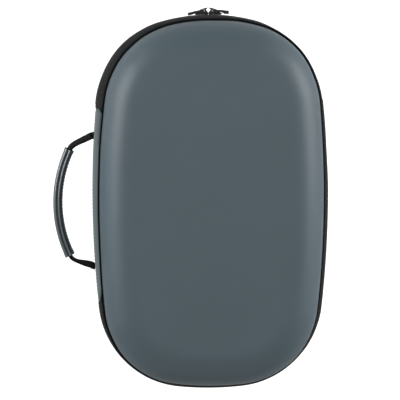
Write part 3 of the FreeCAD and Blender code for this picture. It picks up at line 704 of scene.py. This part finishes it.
def tray():
    """The moulded insert, faced with the same brushed cloth, and the island in its middle."""
    low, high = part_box("headphone_tray")
    floor = 10 * MM
    outside = [(9.2 * MM, high.z - 0.6 * MM), (9.1 * MM, high.z - 2 * MM)]
    outside += quarter(9.1 * MM, low.z + 0.1 * MM, 31.9 * MM, 31.9 * MM, 2.0, 8)
    inside = [(9.9 * MM, high.z), (12 * MM, high.z), (15.5 * MM, high.z)]
    lip = 5.5 * MM
    for index in range(1, 7):
        angle = math.pi / 2 * index / 6
        inside.append((15.5 * MM + lip * math.sin(angle), high.z - lip * (1 - math.cos(angle))))
    inside += quarter(21 * MM, floor, 24 * MM, 24 * MM, 2.0, 12)
    body_mesh = bowl("tray_insert", False, outside, inside, TRAY_CLOTH, 4 * MM)
    settle(body_mesh, "tray_foam", "base", "headphone_tray")

    island_wide = 30 * MM
    island_low = 12 * MM
    island_high = 62 * MM
    top = high.z - 0.2 * MM
    foot = 7 * MM
    edge = 5 * MM
    profile = [(-foot, floor - 0.5 * MM)]
    for index in range(1, 6):
        angle = math.pi / 2 * index / 5
        profile.append((-foot * (1 - math.sin(angle)), floor + foot * (1 - math.cos(angle))))
    for index in range(7):
        angle = math.pi / 2 * index / 6
        profile.append((edge * (1 - math.cos(angle)), top - edge * (1 - math.sin(angle))))
    mesh = bmesh.new()
    rows = []
    steps = 64
    for index in range(steps):
        angle = TURN * (index + 0.5) / steps
        centre_y = island_high if math.sin(angle) > 0 else island_low
        out = Vector((math.cos(angle), math.sin(angle), 0))
        row = [
            Vector((0, centre_y, z)) + out * (island_wide - inset) for inset, z in profile
        ]
        edge_point = row[-1]
        core = Vector((0, max(island_low, min(island_high, edge_point.y)), top))
        row += [edge_point.lerp(core, share) for share in (0.2, 0.5, 0.8, 0.96)]
        rows.append(row)
    verts = add_grid(mesh, rows, rows_closed=True)
    mesh.faces.new([row[-1] for row in verts])
    mesh.faces.new([row[0] for row in verts])
    island = piece("tray_island", mesh, TRAY_CLOTH, "tray_foam", "base")


# ---- piping, bindings and zip

# A stitch along its length, as (share of the length, rise, share of the thickness).
STITCH_BEND = ((-0.5, -0.9, 0.6), (-0.3, 0.1, 1.0), (0.3, 0.1, 1.0), (0.5, -0.9, 0.6))


def add_stitches(mesh, points, pitch, length, radius, proud):
    """A row of sewn stitches over a path. points are (place, direction out of the cloth)."""
    lengths = running_length([point for point, _ in points], False)
    index = 0
    reach = pitch / 2
    while reach < lengths[-1] - length:
        while lengths[index + 1] < reach:
            index += 1
        share = (reach - lengths[index]) / (lengths[index + 1] - lengths[index])
        centre = points[index][0].lerp(points[index + 1][0], share)
        out = points[index][1]
        along = (points[index + 1][0] - points[index][0]).normalized()
        side = along.cross(out)
        rows = []
        for part, rise, width in STITCH_BEND:
            middle = centre + along * length * part + out * (proud + radius * rise)
            rows.append(tube_ring(middle, side, out, radius * width, 6))
        add_grid(mesh, rows, columns_closed=True)
        reach += pitch


def closed_ring(name, front, profile, material, step):
    """A band right round the case with one closed profile."""
    mesh = bmesh.new()
    rows = section_rows(whole_loop(step), profile, front)
    add_grid(mesh, rows, rows_closed=True, columns_closed=True)
    return make_object(name, mesh, material)


def piping():
    def profile(place):
        return [
            (
                PIPING_INSET + draw(place) + PIPING_RADIUS * math.cos(TURN * k / 12),
                PIPING_DEPTH + PIPING_RADIUS * math.sin(TURN * k / 12),
            )
            for k in range(12)
        ]

    for half, body, front in HALVES:
        # The cord takes the darkened piping cloth, which is partly painted shade for the gap beside
        # the shell.
        cord = closed_ring(half + "_piping_cord", front, profile, PIPING_CLOTH_AND_GAP_SHADE, 2.5 * MM)
        settle(cord, "piping_cord", body, half + "_piping")


def bindings():
    """Ribbed tape folded over the rim of each half, sewn through on the inside."""
    section = [
        (1.9, 0.05, 0.6), (1.8, 0.5, 0.6), (2.1, 0.95, 0.6), (5.4, 1.1, 0), (8.2, 0.95, 0),
        (9.4, 0.55, 0), (9.85, -0.4, 0), (9.9, -2.5, 0), (9.75, -4.7, 0), (9.4, -5.0, 0),
        (9.05, -4.7, 0), (9.0, -0.6, 0), (8.4, 0, 0),
    ]

    def profile(place):
        drawn = draw(place)
        return [(inset * MM + drawn * share, RIM + over * MM) for inset, over, share in section]

    for half, body, front in HALVES:
        tape = closed_ring(half + "_binding_tape", front, profile, BINDING_CLOTH, 2.5 * MM)
        settle(tape, "binding_fabric", body, half + "_binding")
        mesh = bmesh.new()
        path = []
        for place in stations_between(0, LOOP, 2.5 * MM):
            path.append((place.at(9.85 * MM, height(RIM - 3.8 * MM, front)), -place.outward()))
        add_stitches(mesh, path, 3.4 * MM, 2.3 * MM, 0.22 * MM, 0.08 * MM)
        piece(half + "_binding_stitches", mesh, BLACK_THREAD, "binding_fabric", body)


def tape_profile(place):
    """Section of one half of the zip tape, from the seam to behind the coil and back."""
    zip_line = -swell(place)
    seam = draw(place)
    section = [
        (2.0, 43.1, 1.0), (1.0, 43.7, 0.93), (0.35, 45.0, 0.66), (0.05, 47.4, 0.3),
        (0.0, 50.2, 0.08), (0.0, 52.4, 0.0), (0.1, 54.2, 0.0), (0.45, 54.9, 0.0),
        (1.9, 55.3, 0.0), (2.15, 56.2, 0.0), (2.15, 57.3, 0.0), (2.5, 57.3, 0.0),
        (2.5, 55.0, 0.0), (1.5, 52.0, 0.0), (1.5, 49.0, 0.1), (1.9, 46.4, 0.4), (2.6, 44.0, 0.9),
    ]
    return [
        (inset * MM + zip_line * (1 - pull_in) + seam * pull_in, depth * MM)
        for inset, depth, pull_in in section
    ]


def zip_tapes():
    places = stations_between(ZIP_START, ZIP_END, 2 * MM)
    for half, body, front in HALVES:
        mesh = bmesh.new()
        add_grid(mesh, section_rows(places, tape_profile, front), columns_closed=True)
        piece(half + "_zip_tape_cloth", mesh, TAPE_CLOTH, "zip_tape", body, half + "_zip_tape")
        mesh = bmesh.new()
        for row in (2, 6):
            path = []
            for place in places:
                inset, depth = tape_profile(place)[row]
                path.append((place.at(inset, height(depth, front)), place.outward()))
            add_stitches(mesh, path, 2.9 * MM, 1.9 * MM, 0.2 * MM, 0.05 * MM)
        piece(half + "_zip_tape_stitches", mesh, BLACK_THREAD, "zip_tape", body)


def zip_coils():
    """Each side is one long flattened spiral; the two are half a pitch apart and interlock."""
    for half, body, front in HALVES:
        turns = int((ZIP_END - ZIP_START - 4 * MM) / COIL_PITCH)
        per_turn = 8
        first = ZIP_START + 2 * MM + (COIL_PITCH / 2 if front else 0)
        points = []
        for index in range(turns * per_turn):
            angle = TURN * index / per_turn
            place = station(first + COIL_PITCH * index / per_turn)
            inset = (0.75 - 0.86 * math.sin(angle)) * MM - swell(place)
            depth = (56.9 + 1.5 * math.cos(angle)) * MM
            points.append(place.at(inset, height(depth, front)))
        mesh = bmesh.new()
        add_tube(mesh, points, COIL_WIRE, 6)
        piece(half + "_zip_coil_teeth", mesh, COIL_NYLON, "zip_coil", body, half + "_zip_coil")


# ---- spine

def spine_share(place):
    """How much of the cover's flap is left: it is cut at a slant at its two ends."""
    y = place.at(0, 0).y
    top = 1 - smoothstep(y, SPINE_HIGH_Y - 4 * MM, SPINE_HIGH_Y + 1 * MM) * 0.9
    bottom = smoothstep(y, SPINE_LOW_Y - 1 * MM, SPINE_LOW_Y + 9 * MM)
    return min(top, 0.12 + 0.88 * bottom)


def spine_cover_profile(place):
    """Section of one half of the leather strip, from the middle round to the shell's edge."""
    keep = spine_share(place)
    seam = draw(place)
    flap = [
        (-0.28, 58.12), (-0.36, 54.0), (-0.36, 50.0), (-0.42, 46.5), (-0.5, 44.0), (-0.5, 42.1),
        (-0.2, 40.6), (0.5, 39.8), (1.3, 39.65), (1.75, 40.0), (1.72, 40.5), (1.3, 40.75),
        (0.8, 41.1), (0.45, 42.1), (0.15, 44.0), (0.15, 46.5), (0.15, 50.0), (0.15, 54.0),
        (0.15, 58.12),
    ]
    points = []
    for inset, depth in flap:
        fold_depth = 43.5
        if depth < fold_depth:
            depth = fold_depth + (depth - fold_depth) * (0.25 + 0.75 * keep)
            inset = inset - 1.2 * (1 - keep) * max(0.0, inset + 0.5) / 2.6
        reach = smoothstep(inset, -0.5, 1.5) * (0.3 + 0.7 * keep)
        points.append((inset * MM + (seam - 0.5 * MM) * reach, depth * MM))
    return points


LINING_TAIL = 1.5 * MM


def spine_lining_profile(place):
    """Section of the strip's cloth lining, with the foot that is sewn down on the binding."""
    y = place.at(0, 0).y
    beyond = max(0.0, y - SPINE_HIGH_Y, SPINE_LOW_Y - y)
    top = 58.1 - 10.8 * smoothstep(beyond, 0, LINING_TAIL)
    foot_end = 6.1 + 0.6 * draw(place) / MM
    section = [
        (1.5, 58.1), (1.5, 52.0), (1.5, 48.0), (1.6, 46.9), (2.0, 46.15), (foot_end - 0.3, 46.15),
        (foot_end, 46.5), (foot_end - 0.3, 46.9), (2.9, 47.0), (2.3, 47.6), (2.2, 49.0),
        (2.2, 53.0), (2.2, 58.1),
    ]
    return [(inset * MM, min(depth, top) * MM) for inset, depth in section]


def bend_at_fold(thing):
    """Bakes the piece's transform into its mesh; the piece is not attached to any body."""
    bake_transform(thing)


def spine():
    for half, _, front in HALVES:
        mesh = bmesh.new()
        places = stations_between(SPINE_START, SPINE_END, 2 * MM)
        add_grid(mesh, section_rows(places, spine_cover_profile, front), columns_closed=True)
        cover = make_object("spine_cover_" + half, mesh, SPINE_LEATHER)
        bend_at_fold(cover)
        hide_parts("spine_cover")

        mesh = bmesh.new()
        path = []
        for place in stations_between(SPINE_START + 3 * MM, SPINE_END - 3 * MM, 2 * MM):
            path.append((place.at(-0.47 * MM, height(44.9 * MM, front)), place.outward()))
        add_stitches(mesh, path, 3.2 * MM, 2.2 * MM, 0.2 * MM, 0.06 * MM)
        stitching = make_object("spine_stitches_" + half, mesh, GREY_THREAD)
        bend_at_fold(stitching)

        mesh = bmesh.new()
        places = stations_between(SPINE_START - LINING_TAIL, SPINE_END + LINING_TAIL, 1.5 * MM)
        add_grid(mesh, section_rows(places, spine_lining_profile, front), columns_closed=True)
        lining = make_object("spine_lining_" + half, mesh, LINING)
        bend_at_fold(lining)
        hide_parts("spine_lining")


# ---- handle

STRAP_HALF_WIDE = 8 * MM
STRAP_HALF_THICK = 0.95 * MM
STRAP_ROOT_X = -102.3 * MM
STRAP_MOUTH_X = -101.6 * MM
# Each end of the webbing, as (side, its twist in degrees at the root, waist and grip, its lean at
# the root in degrees, how far inside its anchor it comes out).
STRAP_ENDS = ((-1, (9, 0, 3), 14, 3.4 * MM), (1, (13, 10, 10), 27, 0.3 * MM))
GRIP_HALF_STRAIGHT = 6.1 * MM
GRIP_SECTION_RADIUS = 3.9 * MM
SEAM_ACROSS = -2.4 * MM
GRIP_GROOVES = ((0.6 * MM, 0.95 * MM, 1.6 * MM), (SEAM_ACROSS, 0.4 * MM, 1.2 * MM))


def bezier(points, share):
    """A point on a cubic curve."""
    a, b, c, d = points
    rest = 1 - share
    return a * rest ** 3 + b * 3 * rest ** 2 * share + c * 3 * rest * share ** 2 + d * share ** 3


def grip_spot(angle, reach, z):
    """A point in the grip's own round frame; angle 0 is its middle."""
    return Vector((
        GRIP_CENTRE_X - reach * math.cos(angle),
        reach * math.sin(angle),
        MIDDLE + z,
    ))


def strap_line():
    """(centre, direction across the strap's thickness, twist) from the lower root to the upper."""
    end = GRIP_HALF_ANGLE
    root_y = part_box("strap_anchors")[1].y
    halves = []
    for side, (twist_root, twist_waist, twist_grip), lean, root_in in STRAP_ENDS:
        grip_end = grip_spot(side * end, GRIP_RADIUS, 0)
        tangent = Vector((math.sin(end), side * math.cos(end), 0))
        root = Vector((STRAP_ROOT_X, side * (root_y - root_in), MIDDLE))
        lean = math.radians(lean)
        inward = Vector((math.cos(lean), side * math.sin(lean), 0))
        curve = [grip_end, grip_end + tangent * 5.5 * MM, root - inward * 13 * MM, root]
        part = []
        for index in range(1, 17):
            share = index / 16
            if share < 0.5:
                twist = twist_grip + (twist_waist - twist_grip) * smoothstep(share, 0, 0.5)
            else:
                twist = twist_waist + (twist_root - twist_waist) * smoothstep(share, 0.5, 1)
            part.append((bezier(curve, share), math.radians(twist) * side))
        inside = Vector((-92 * MM, side * (root_y + 2.0 * MM), MIDDLE))
        part.append((root.lerp(inside, 0.35), math.radians(twist_root) * side))
        halves.append((part, twist_grip * side))
    (lower, lower_twist), (upper, upper_twist) = halves
    middle = []
    for index in range(25):
        share = index / 24
        twist = lower_twist + (upper_twist - lower_twist) * share
        middle.append((grip_spot(end * (2 * share - 1), GRIP_RADIUS, 0), math.radians(twist)))
    return lower[::-1] + middle + upper


def strap_section(centre, along, twist):
    """Rounded flat section of the webbing with its two thick selvedges."""
    up = Vector((0, 0, 1))
    thin = along.cross(up).normalized()
    turned = Matrix.Rotation(twist, 3, along)
    wide_way = turned @ up
    thin_way = turned @ thin
    half = [
        (-1.0, 0.0), (-0.99, 0.55), (-0.95, 0.95), (-0.88, 1.0), (-0.82, 0.86), (-0.5, 0.9),
        (0.0, 0.92), (0.5, 0.9), (0.82, 0.86), (0.88, 1.0), (0.95, 0.95), (0.99, 0.55),
        (1.0, 0.0),
    ]
    around = half + [(wide, -thick) for wide, thick in reversed(half[1:-1])]
    return [
        centre + wide_way * wide * STRAP_HALF_WIDE + thin_way * thick * STRAP_HALF_THICK
        for wide, thick in around
    ]


def add_strap(mesh, line):
    rows = []
    for index, (centre, twist) in enumerate(line):
        before = line[max(0, index - 1)][0]
        after = line[min(len(line) - 1, index + 1)][0]
        rows.append(strap_section(centre, (after - before).normalized(), twist))
    add_grid(mesh, rows, columns_closed=True)


def grip_section(angle, swell_out):
    """The cover's outer section: two padded lobes with a groove between them on each side."""
    points = []
    count = 140
    radius = GRIP_SECTION_RADIUS
    straight = GRIP_HALF_STRAIGHT
    cap = math.pi * radius
    total = 2 * cap + 4 * straight
    for index in range(count):
        reach = total * (index + 0.5) / count
        if reach < cap:
            turn = reach / radius
            across, z = radius * math.cos(turn), straight + radius * math.sin(turn)
        elif reach < cap + 2 * straight:
            across, z = -radius, straight - (reach - cap)
        elif reach < 2 * cap + 2 * straight:
            turn = math.pi + (reach - cap - 2 * straight) / radius
            across, z = radius * math.cos(turn), -straight + radius * math.sin(turn)
        else:
            across, z = radius, -straight + (reach - 2 * cap - 2 * straight)
        side = 1 if z > 0 else -1
        near_end = smoothstep(abs(z), straight, straight + 2 * MM)
        for groove_at, groove_wide, groove_deep in GRIP_GROOVES:
            notch = math.exp(-(((across - groove_at) / groove_wide) ** 2))
            z -= side * groove_deep * notch * near_end
        across *= 1 + 0.05 * swell_out
        z += side * 0.25 * MM * swell_out
        points.append(grip_spot(angle, GRIP_RADIUS + across, z))
    return points


def grip():
    """Leather wrapped round the strap and its padding, open at both ends."""
    end = GRIP_HALF_ANGLE
    steps = 60
    rows = []
    for index in range(steps + 1):
        share = 2 * index / steps - 1
        flare = smoothstep(abs(share), 0.9, 1.0)
        wave = 0.35 * math.sin(9.0 * share) * math.cos(4.3 * share)
        rows.append(grip_section(end * share, flare * 1.6 + 0.25 * wave))
    middle = [sum(row, Vector()) / len(row) for row in rows]
    mesh = bmesh.new()
    verts = add_grid(mesh, rows, columns_closed=True, caps=False)
    uv = mesh.loops.layers.uv.verify()
    for end_index, step in ((0, 1), (steps, -1)):
        rings = [verts[end_index]]
        for inwards, shrink in ((0, 0.86), (2, 0.8), (5, 0.72)):
            index = end_index + step * inwards
            scale = [middle[index] + (point - middle[index]) * shrink for point in rows[index]]
            rings.append([mesh.verts.new(point) for point in scale])
        for outer, inner in zip(rings, rings[1:]):
            for k in range(len(outer)):
                k2 = (k + 1) % len(outer)
                face = mesh.faces.new((outer[k], outer[k2], inner[k2], inner[k]))
                for loop, pair in zip(face.loops, ((k, 0), (k + 1, 0), (k + 1, 1), (k, 1))):
                    loop[uv].uv = (pair[0] * MM, pair[1] * MM)
        mesh.faces.new(rings[-1])
    cover = piece("grip_cover_leather", mesh, GRIP_LEATHER, "grip_leather", "handle", "grip_cover")

    # Black cords laid in the grooves along the seam: partly the seam's own black edge, and partly
    # painted shade that darkens the grooves.
    mesh = bmesh.new()
    for side in (-1, 1):
        path = []
        for index in range(61):
            angle = end * (index / 30 - 1) * 0.95
            path.append(grip_spot(angle, GRIP_RADIUS + SEAM_ACROSS, side * 8.45 * MM))
        add_tube(mesh, path, 0.45 * MM, 8)
    piece("grip_seam_cords_and_groove_shade", mesh, BLACK_THREAD, "grip_leather", "handle")

    mesh = bmesh.new()
    path = []
    for index in range(61):
        angle = end * (index / 30 - 1) * 0.95
        inwards = grip_spot(angle, -1, 0) - grip_spot(angle, 0, 0)
        path.append((grip_spot(angle, GRIP_RADIUS - GRIP_SECTION_RADIUS, 1.6 * MM), inwards))
    add_stitches(mesh, path, 3.0 * MM, 2.0 * MM, 0.22 * MM, 0.06 * MM)
    piece("grip_stitches", mesh, GREY_THREAD, "grip_leather", "handle")


def handle():
    """The webbing, the collars where it leaves the spine, and the grip."""
    mesh = bmesh.new()
    line = strap_line()
    add_strap(mesh, line)
    strap = make_object("handle_strap", mesh, WEBBING)
    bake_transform(strap)
    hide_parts("handle_webbing")

    mesh = bmesh.new()
    for end, inner in ((0, 2), (-1, -3)):
        root, twist = line[end]
        along = (line[inner][0] - root).normalized()
        up = Matrix.Rotation(twist, 3, along) @ Vector((0, 0, 1))
        thin = along.cross(up)
        start = root + along * ((STRAP_MOUTH_X - root.x) / along.x)
        rows = []
        for reach, grow in in_mm((-0.6, 0.25), (0.0, 0.45), (0.5, 0.45), (0.9, 0.2), (0.9, -0.1)):
            wide_way = up * (STRAP_HALF_WIDE + grow)
            thin_way = thin * (STRAP_HALF_THICK + grow)
            rows.append([
                start + along * reach + wide_way * wide + thin_way * thick
                for wide, thick in squared_oval(28, 0.35, 0.6)
            ])
        add_grid(mesh, rows, columns_closed=True)
    piece("strap_collars", mesh, WEBBING, "webbing", "spine", "strap_anchors")
    grip()


# ---- zip sliders and pulls

def slider_frame(side_name, u, reach, z):
    """A point of a slider: u runs outwards along the zip, reach is a radius of the end arc."""
    side = -1 if side_name == "left" else 1
    turn = SLIDER_TURNS[side_name]
    x, y = side * u, reach
    return Vector((
        x * math.cos(turn) - y * math.sin(turn),
        HALF_LONG - UPPER_END_RADIUS + x * math.sin(turn) + y * math.cos(turn),
        MIDDLE + z,
    ))


def rounded(points, radius, steps=5):
    """Rounds the corners of a flat polygon."""
    made = []
    count = len(points)
    for index in range(count):
        here = Vector(points[index])
        before = Vector(points[index - 1]) - here
        after = Vector(points[(index + 1) % count]) - here
        cut = min(radius, before.length * 0.45, after.length * 0.45)
        start = here + before.normalized() * cut
        end = here + after.normalized() * cut
        for step in range(steps + 1):
            share = step / steps
            point = start.lerp(here, share).lerp(here.lerp(end, share), share)
            made.append((point.x, point.y))
    return made


def circle(x, y, radius, steps=20):
    return [
        (x + radius * math.cos(TURN * k / steps), y + radius * math.sin(TURN * k / steps))
        for k in range(steps)
    ]


PLATE_LOW = COIL_TOP + 0.35 * MM
PLATE_HIGH = PLATE_LOW + 1.4 * MM
PIVOT = PLATE_HIGH + 1.5 * MM
PIVOT_U = -1.75 * MM
PULL_DROOPS = {"left": 0.15, "right": 0.03}
PULL_HOOKS = {"left": 0.7 * MM, "right": 1.3 * MM}
UNDER_HIGH = COIL_TOP - 3.05 * MM


def slider(side_name):
    """Body of a slider: shield-shaped plates, a guide wall at the rear side, a post, a bridge."""
    def flat_at(reach, crown=0.0):
        def point(u, z):
            drop = crown * ((u / (5.75 * MM)) ** 2 + (z / (4.65 * MM)) ** 2) / 2
            return slider_frame(side_name, u, reach - drop, z)
        return point

    def upright(z):
        return lambda u, reach: slider_frame(side_name, u, reach, z)

    shield = rounded(in_mm(
        (-5.95, -4.3), (-2.2, -4.65), (2.6, -3.9), (5.75, -3.2),
        (5.75, 3.2), (2.6, 3.9), (-2.2, 4.65), (-5.95, 4.3),
    ), 1.3 * MM)
    post = rounded(in_mm((-5.6, -0.3), (-3.2, -0.1), (-3.2, 0.1), (-5.6, 0.3)), 0.08 * MM, 2)
    lip = rounded(in_mm((-5.6, -4.55), (5.0, -4.0), (5.0, -3.0), (-5.6, -3.5)), 0.3 * MM, 3)
    mesh = bmesh.new()
    add_prism(mesh, shield, [], flat_at(PLATE_LOW), flat_at(PLATE_HIGH, 0.5 * MM))
    add_prism(mesh, shield, [], flat_at(UNDER_HIGH - 1.2 * MM), flat_at(UNDER_HIGH))
    add_prism(mesh, post, [], flat_at(UNDER_HIGH - 0.3 * MM), flat_at(PLATE_LOW + 0.3 * MM))
    add_prism(mesh, lip, [], flat_at(PLATE_LOW - 0.55 * MM), flat_at(PLATE_LOW + 0.3 * MM))
    base = PLATE_HIGH - 0.4 * MM
    top = PIVOT + 2.35 * MM
    arch = rounded([
        (-5.95 * MM, base), (-4.0 * MM, PIVOT + 0.7 * MM), (-6.0 * MM, top),
        (-5.2 * MM, top + 0.15 * MM), (-1.4 * MM, top - 0.5 * MM), (0.9 * MM, PIVOT + 1.0 * MM),
        (2.8 * MM, PIVOT - 0.4 * MM), (4.8 * MM, base),
    ], 0.35 * MM)
    eye = circle(PIVOT_U, PIVOT - 0.05 * MM, 1.15 * MM)
    add_prism(mesh, arch, [eye], upright(-1.2 * MM), upright(1.2 * MM))
    body = make_object("zip_slider_" + side_name, mesh, LACQUER, 30)
    add_bevel(body, 0.22 * MM)
    settle(body, "slider_metal", side_name + "_slider", "slider_" + side_name)


def pull(side_name):
    """Pull tab: a bar through the bridge, two arms, and a waisted plate; u runs from its pivot."""
    def flat_at(reach, hook):
        def point(u, z):
            slope = PULL_DROOPS[side_name] * max(0.0, u - 1.0 * MM)
            bend = hook * smoothstep(PIVOT_U + u, 5.9 * MM, 8 * MM)
            return slider_frame(side_name, PIVOT_U + u, reach - slope - bend, z)
        return point

    plate = rounded(in_mm(
        (2.9, -2.9), (6.4, -2.262), (9.5, -2.9), (12.9, -2.61), (13.5, 0),
        (12.9, 2.61), (9.5, 2.9), (6.4, 2.262), (2.9, 2.9),
    ), 1.1 * MM)
    hole = circle(10.5 * MM, 0.0, 1.2 * MM)
    slot = rounded(in_mm((4.9, -0.8), (7.2, -0.8), (7.2, 0.8), (4.9, 0.8)), 0.6 * MM)
    mesh = bmesh.new()
    under = flat_at(PIVOT - 1.1 * MM, PULL_HOOKS[side_name])
    over = flat_at(PIVOT + 0.9 * MM, 0.2 * MM)
    add_prism(mesh, plate, [hole, slot], under, over)
    for sign in (-1, 1):
        arm = [(-0.7, 1.75), (-0.7, 2.9), (3.6, 2.9), (3.6, 1.6)]
        corners = in_mm(*[(u, sign * z) for u, z in arm])
        add_prism(mesh, rounded(corners, 0.5 * MM), [], under, over)
    bar = [slider_frame(side_name, PIVOT_U, PIVOT, z * MM) for z in (-2.8, -2.0, 0.0, 2.0, 2.8)]
    add_tube(mesh, bar, 0.78 * MM, 14)
    tab = make_object("zip_pull_" + side_name, mesh, LACQUER, 30)
    add_bevel(tab, 0.2 * MM)
    settle(tab, "pull_metal", side_name + "_pull", "pull_" + side_name)


# ---- mesh pocket

def inside_loop(x, y, inset):
    """Distance from a point to the outline offset by inset; positive inside it."""
    best = None
    for index, (centre, radius, start, begins) in enumerate(ARCS):
        following = ARCS[index + 1][3] if index + 1 < len(ARCS) else LOOP
        turned = (math.atan2(y - centre.y, x - centre.x) - start) % TURN
        if turned * radius <= following - begins + 1e-9:
            gap = radius - inset - math.hypot(x - centre.x, y - centre.y)
            if best is None or abs(gap) < abs(best):
                best = gap
    return best if best is not None else -1.0

NET_PITCH = 3.2 * MM
NET_BAR = 0.52 * MM
NET_INSET = 10.2 * MM
HEXAGON = ((0, 0.66), (0.5, 0.34), (0.5, -0.34), (0, -0.66), (-0.5, -0.34), (-0.5, 0.34))

def net_pocket():
    """Knitted net across the lower part of the lid: real holes, held flat by its elastic edge."""
    low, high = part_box("mesh_pocket")
    plane = (low.z + high.z) / 2
    edge_y = high.y + 1 * MM
    columns = int(high.x / NET_PITCH) + 1
    mesh = bmesh.new()
    corners = {}

    def corner(x, y):
        key = (round(x / (0.1 * MM)), round(y / (0.1 * MM)))
        if key not in corners:
            corners[key] = mesh.verts.new((x, y, plane))
        return corners[key]

    for row in range(int((edge_y - low.y) / NET_PITCH) + 2):
        for column in range(-columns, columns + 1):
            cx = column * NET_PITCH + (NET_PITCH / 2 if row % 2 else 0.0)
            cy = edge_y - (row + 0.5) * NET_PITCH
            clear = inside_loop(cx, cy, NET_INSET + NET_PITCH * 0.75)
            if clear <= 0 or cy + NET_PITCH / 2 > edge_y + 1e-9:
                continue
            ring = [(cx + NET_PITCH * across, cy + NET_PITCH * along) for across, along in HEXAGON]
            outer = [corner(x, y) for x, y in ring]
            centre = Vector((cx, cy, plane))
            inner = []
            for x, y in ring:
                away = Vector((x, y, plane)) - centre
                inner.append(mesh.verts.new(centre + away * (1 - NET_BAR / away.length)))
            for k in range(6):
                k2 = (k + 1) % 6
                mesh.faces.new((outer[k], outer[k2], inner[k2], inner[k]))
    bmesh.ops.remove_doubles(mesh, verts=mesh.verts, dist=0.05 * MM)
    net = make_object("pocket_net", mesh, NET_YARN)
    solid = net.modifiers.new("yarn", "SOLIDIFY")
    solid.thickness = 0.6 * MM
    solid.offset = 0
    settle(net, "pocket_mesh", "lid", "mesh_pocket")

    mesh = bmesh.new()
    hem_low, hem_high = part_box("pocket_hem")
    rows = []
    steps = 80
    for index in range(steps + 1):
        x = hem_low.x + 0.6 * MM + (hem_high.x - hem_low.x - 1.2 * MM) * index / steps
        gather = 0.18 * MM * math.sin(index * 1.9) + 0.1 * MM * math.sin(index * 0.7)
        middle = Vector((x, (hem_low.y + hem_high.y) / 2, (hem_low.z + hem_high.z) / 2))
        rows.append([
            middle + Vector((0, wide * 4 * MM, thick * 0.95 * MM + gather * abs(wide)))
            for wide, thick in squared_oval(16, 0.45, 0.7)
        ])
    add_grid(mesh, rows, columns_closed=True)
    hem = piece("pocket_elastic_edge", mesh, ELASTIC, "pocket_elastic", "lid", "pocket_hem")

# ---- stage

CAMERA_DISTANCE = 1.8
CAMERA_YAW = math.radians(2.8)
CAMERA_PITCH = math.radians(5.0)
FRAME_WIDE = 0.342
AIM = Vector((-9.3 * MM, 2.8 * MM, 73 * MM))
SENSOR = 36.0


def camera():
    data = bpy.data.cameras.new("camera")
    data.sensor_width = SENSOR
    data.lens = SENSOR * CAMERA_DISTANCE / FRAME_WIDE
    data.clip_start = 0.05
    thing = bpy.data.objects.new("camera", data)
    bpy.context.scene.collection.objects.link(thing)
    forward = Vector((
        math.sin(CAMERA_YAW),
        -math.sin(CAMERA_PITCH),
        -math.cos(CAMERA_YAW) * math.cos(CAMERA_PITCH),
    )).normalized()
    thing.location = AIM - forward * CAMERA_DISTANCE
    right = forward.cross(Vector((0, 1, 0))).normalized()
    up = right.cross(forward)
    thing.rotation_euler = Matrix((right, up, -forward)).transposed().to_euler()
    bpy.context.scene.camera = thing


def area_light(name, place, aim, size, size_y, power):
    data = bpy.data.lights.new(name, "AREA")
    data.shape = "RECTANGLE"
    data.size = size
    data.size_y = size_y
    data.energy = power
    thing = bpy.data.objects.new(name, data)
    bpy.context.scene.collection.objects.link(thing)
    thing.location = place
    thing.rotation_euler = (Vector(aim) - Vector(place)).to_track_quat("-Z", "Y").to_euler()


WORLD_AT_HORIZON = 0.33
WORLD_OVERHEAD = 0.52
POOL_RADIUS = 0.28
POOL_END = 0.60


def lights():
    scene = bpy.context.scene
    scene.view_settings.view_transform = "Standard"
    world = bpy.data.worlds.new("studio")
    scene.world = world
    world.use_nodes = True
    tree = world.node_tree
    background = tree.nodes["Background"]
    background.inputs["Color"].default_value = (1, 1, 1, 1)
    direction = tree.nodes.new("ShaderNodeTexCoord").outputs["Generated"]
    split = tree.nodes.new("ShaderNodeSeparateXYZ")
    tree.links.new(direction, split.inputs[0])
    ramp = tree.nodes.new("ShaderNodeMapRange")
    tree.links.new(split.outputs["Z"], ramp.inputs["Value"])
    ramp.inputs["To Min"].default_value = WORLD_AT_HORIZON
    ramp.inputs["To Max"].default_value = WORLD_OVERHEAD
    tree.links.new(ramp.outputs[0], background.inputs["Strength"])
    for name, side in (("left_softbox", -1), ("right_softbox", 1)):
        area_light(name, (side * 1.1, 0.38, 0.40), (0, 0.05, 0.05), 0.8, 0.6, 16)
    area_light("lower_softbox", (0, -1.2, 0.55), (0, -0.05, 0.05), 1.0, 0.6, 1.8)
    area_light("overhead_softbox", (0, 0.1, 2.2), (0, 0, 0.05), 1.2, 1.2, 7)


def floor():
    mesh = bmesh.new()
    half = 6.0
    add_grid(mesh, [[Vector((-half, -half, 0)), Vector((-half, half, 0))],
                    [Vector((half, -half, 0)), Vector((half, half, 0))]])
    pale = Shader("pale_floor", (0.40, 0.40, 0.40), 0.9, 0.1)
    pale.bsdf.inputs["Emission Color"].default_value = (1, 1, 1, 1)
    reach = pale.node("VectorMath", {0: pale.place()}, operation="LENGTH").outputs["Value"]
    glow = pale.between(reach, POOL_RADIUS, POOL_END, 0.85, 0.3)
    pale.tree.links.new(glow, pale.bsdf.inputs["Emission Strength"])
    plane = make_object("floor", mesh, pale.material)
    plane.location.z = -0.15 * MM
    lit_by_glow = bpy.data.collections.new("lit_by_floor_glow")
    lit_by_glow.objects.link(plane)
    plane.light_linking.receiver_collection = lit_by_glow


# ---- everything together

for node, material in (("spine_board", BOARD), ("grip_padding", FOAM)):
    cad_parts[node].data.materials.clear()
    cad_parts[node].data.materials.append(material)

shells()
linings()
tray()
piping()
bindings()
zip_tapes()
zip_coils()
spine()
handle()
for side_name in SLIDER_TURNS:
    slider(side_name)
    pull(side_name)
net_pocket()
camera()
lights()
floor()
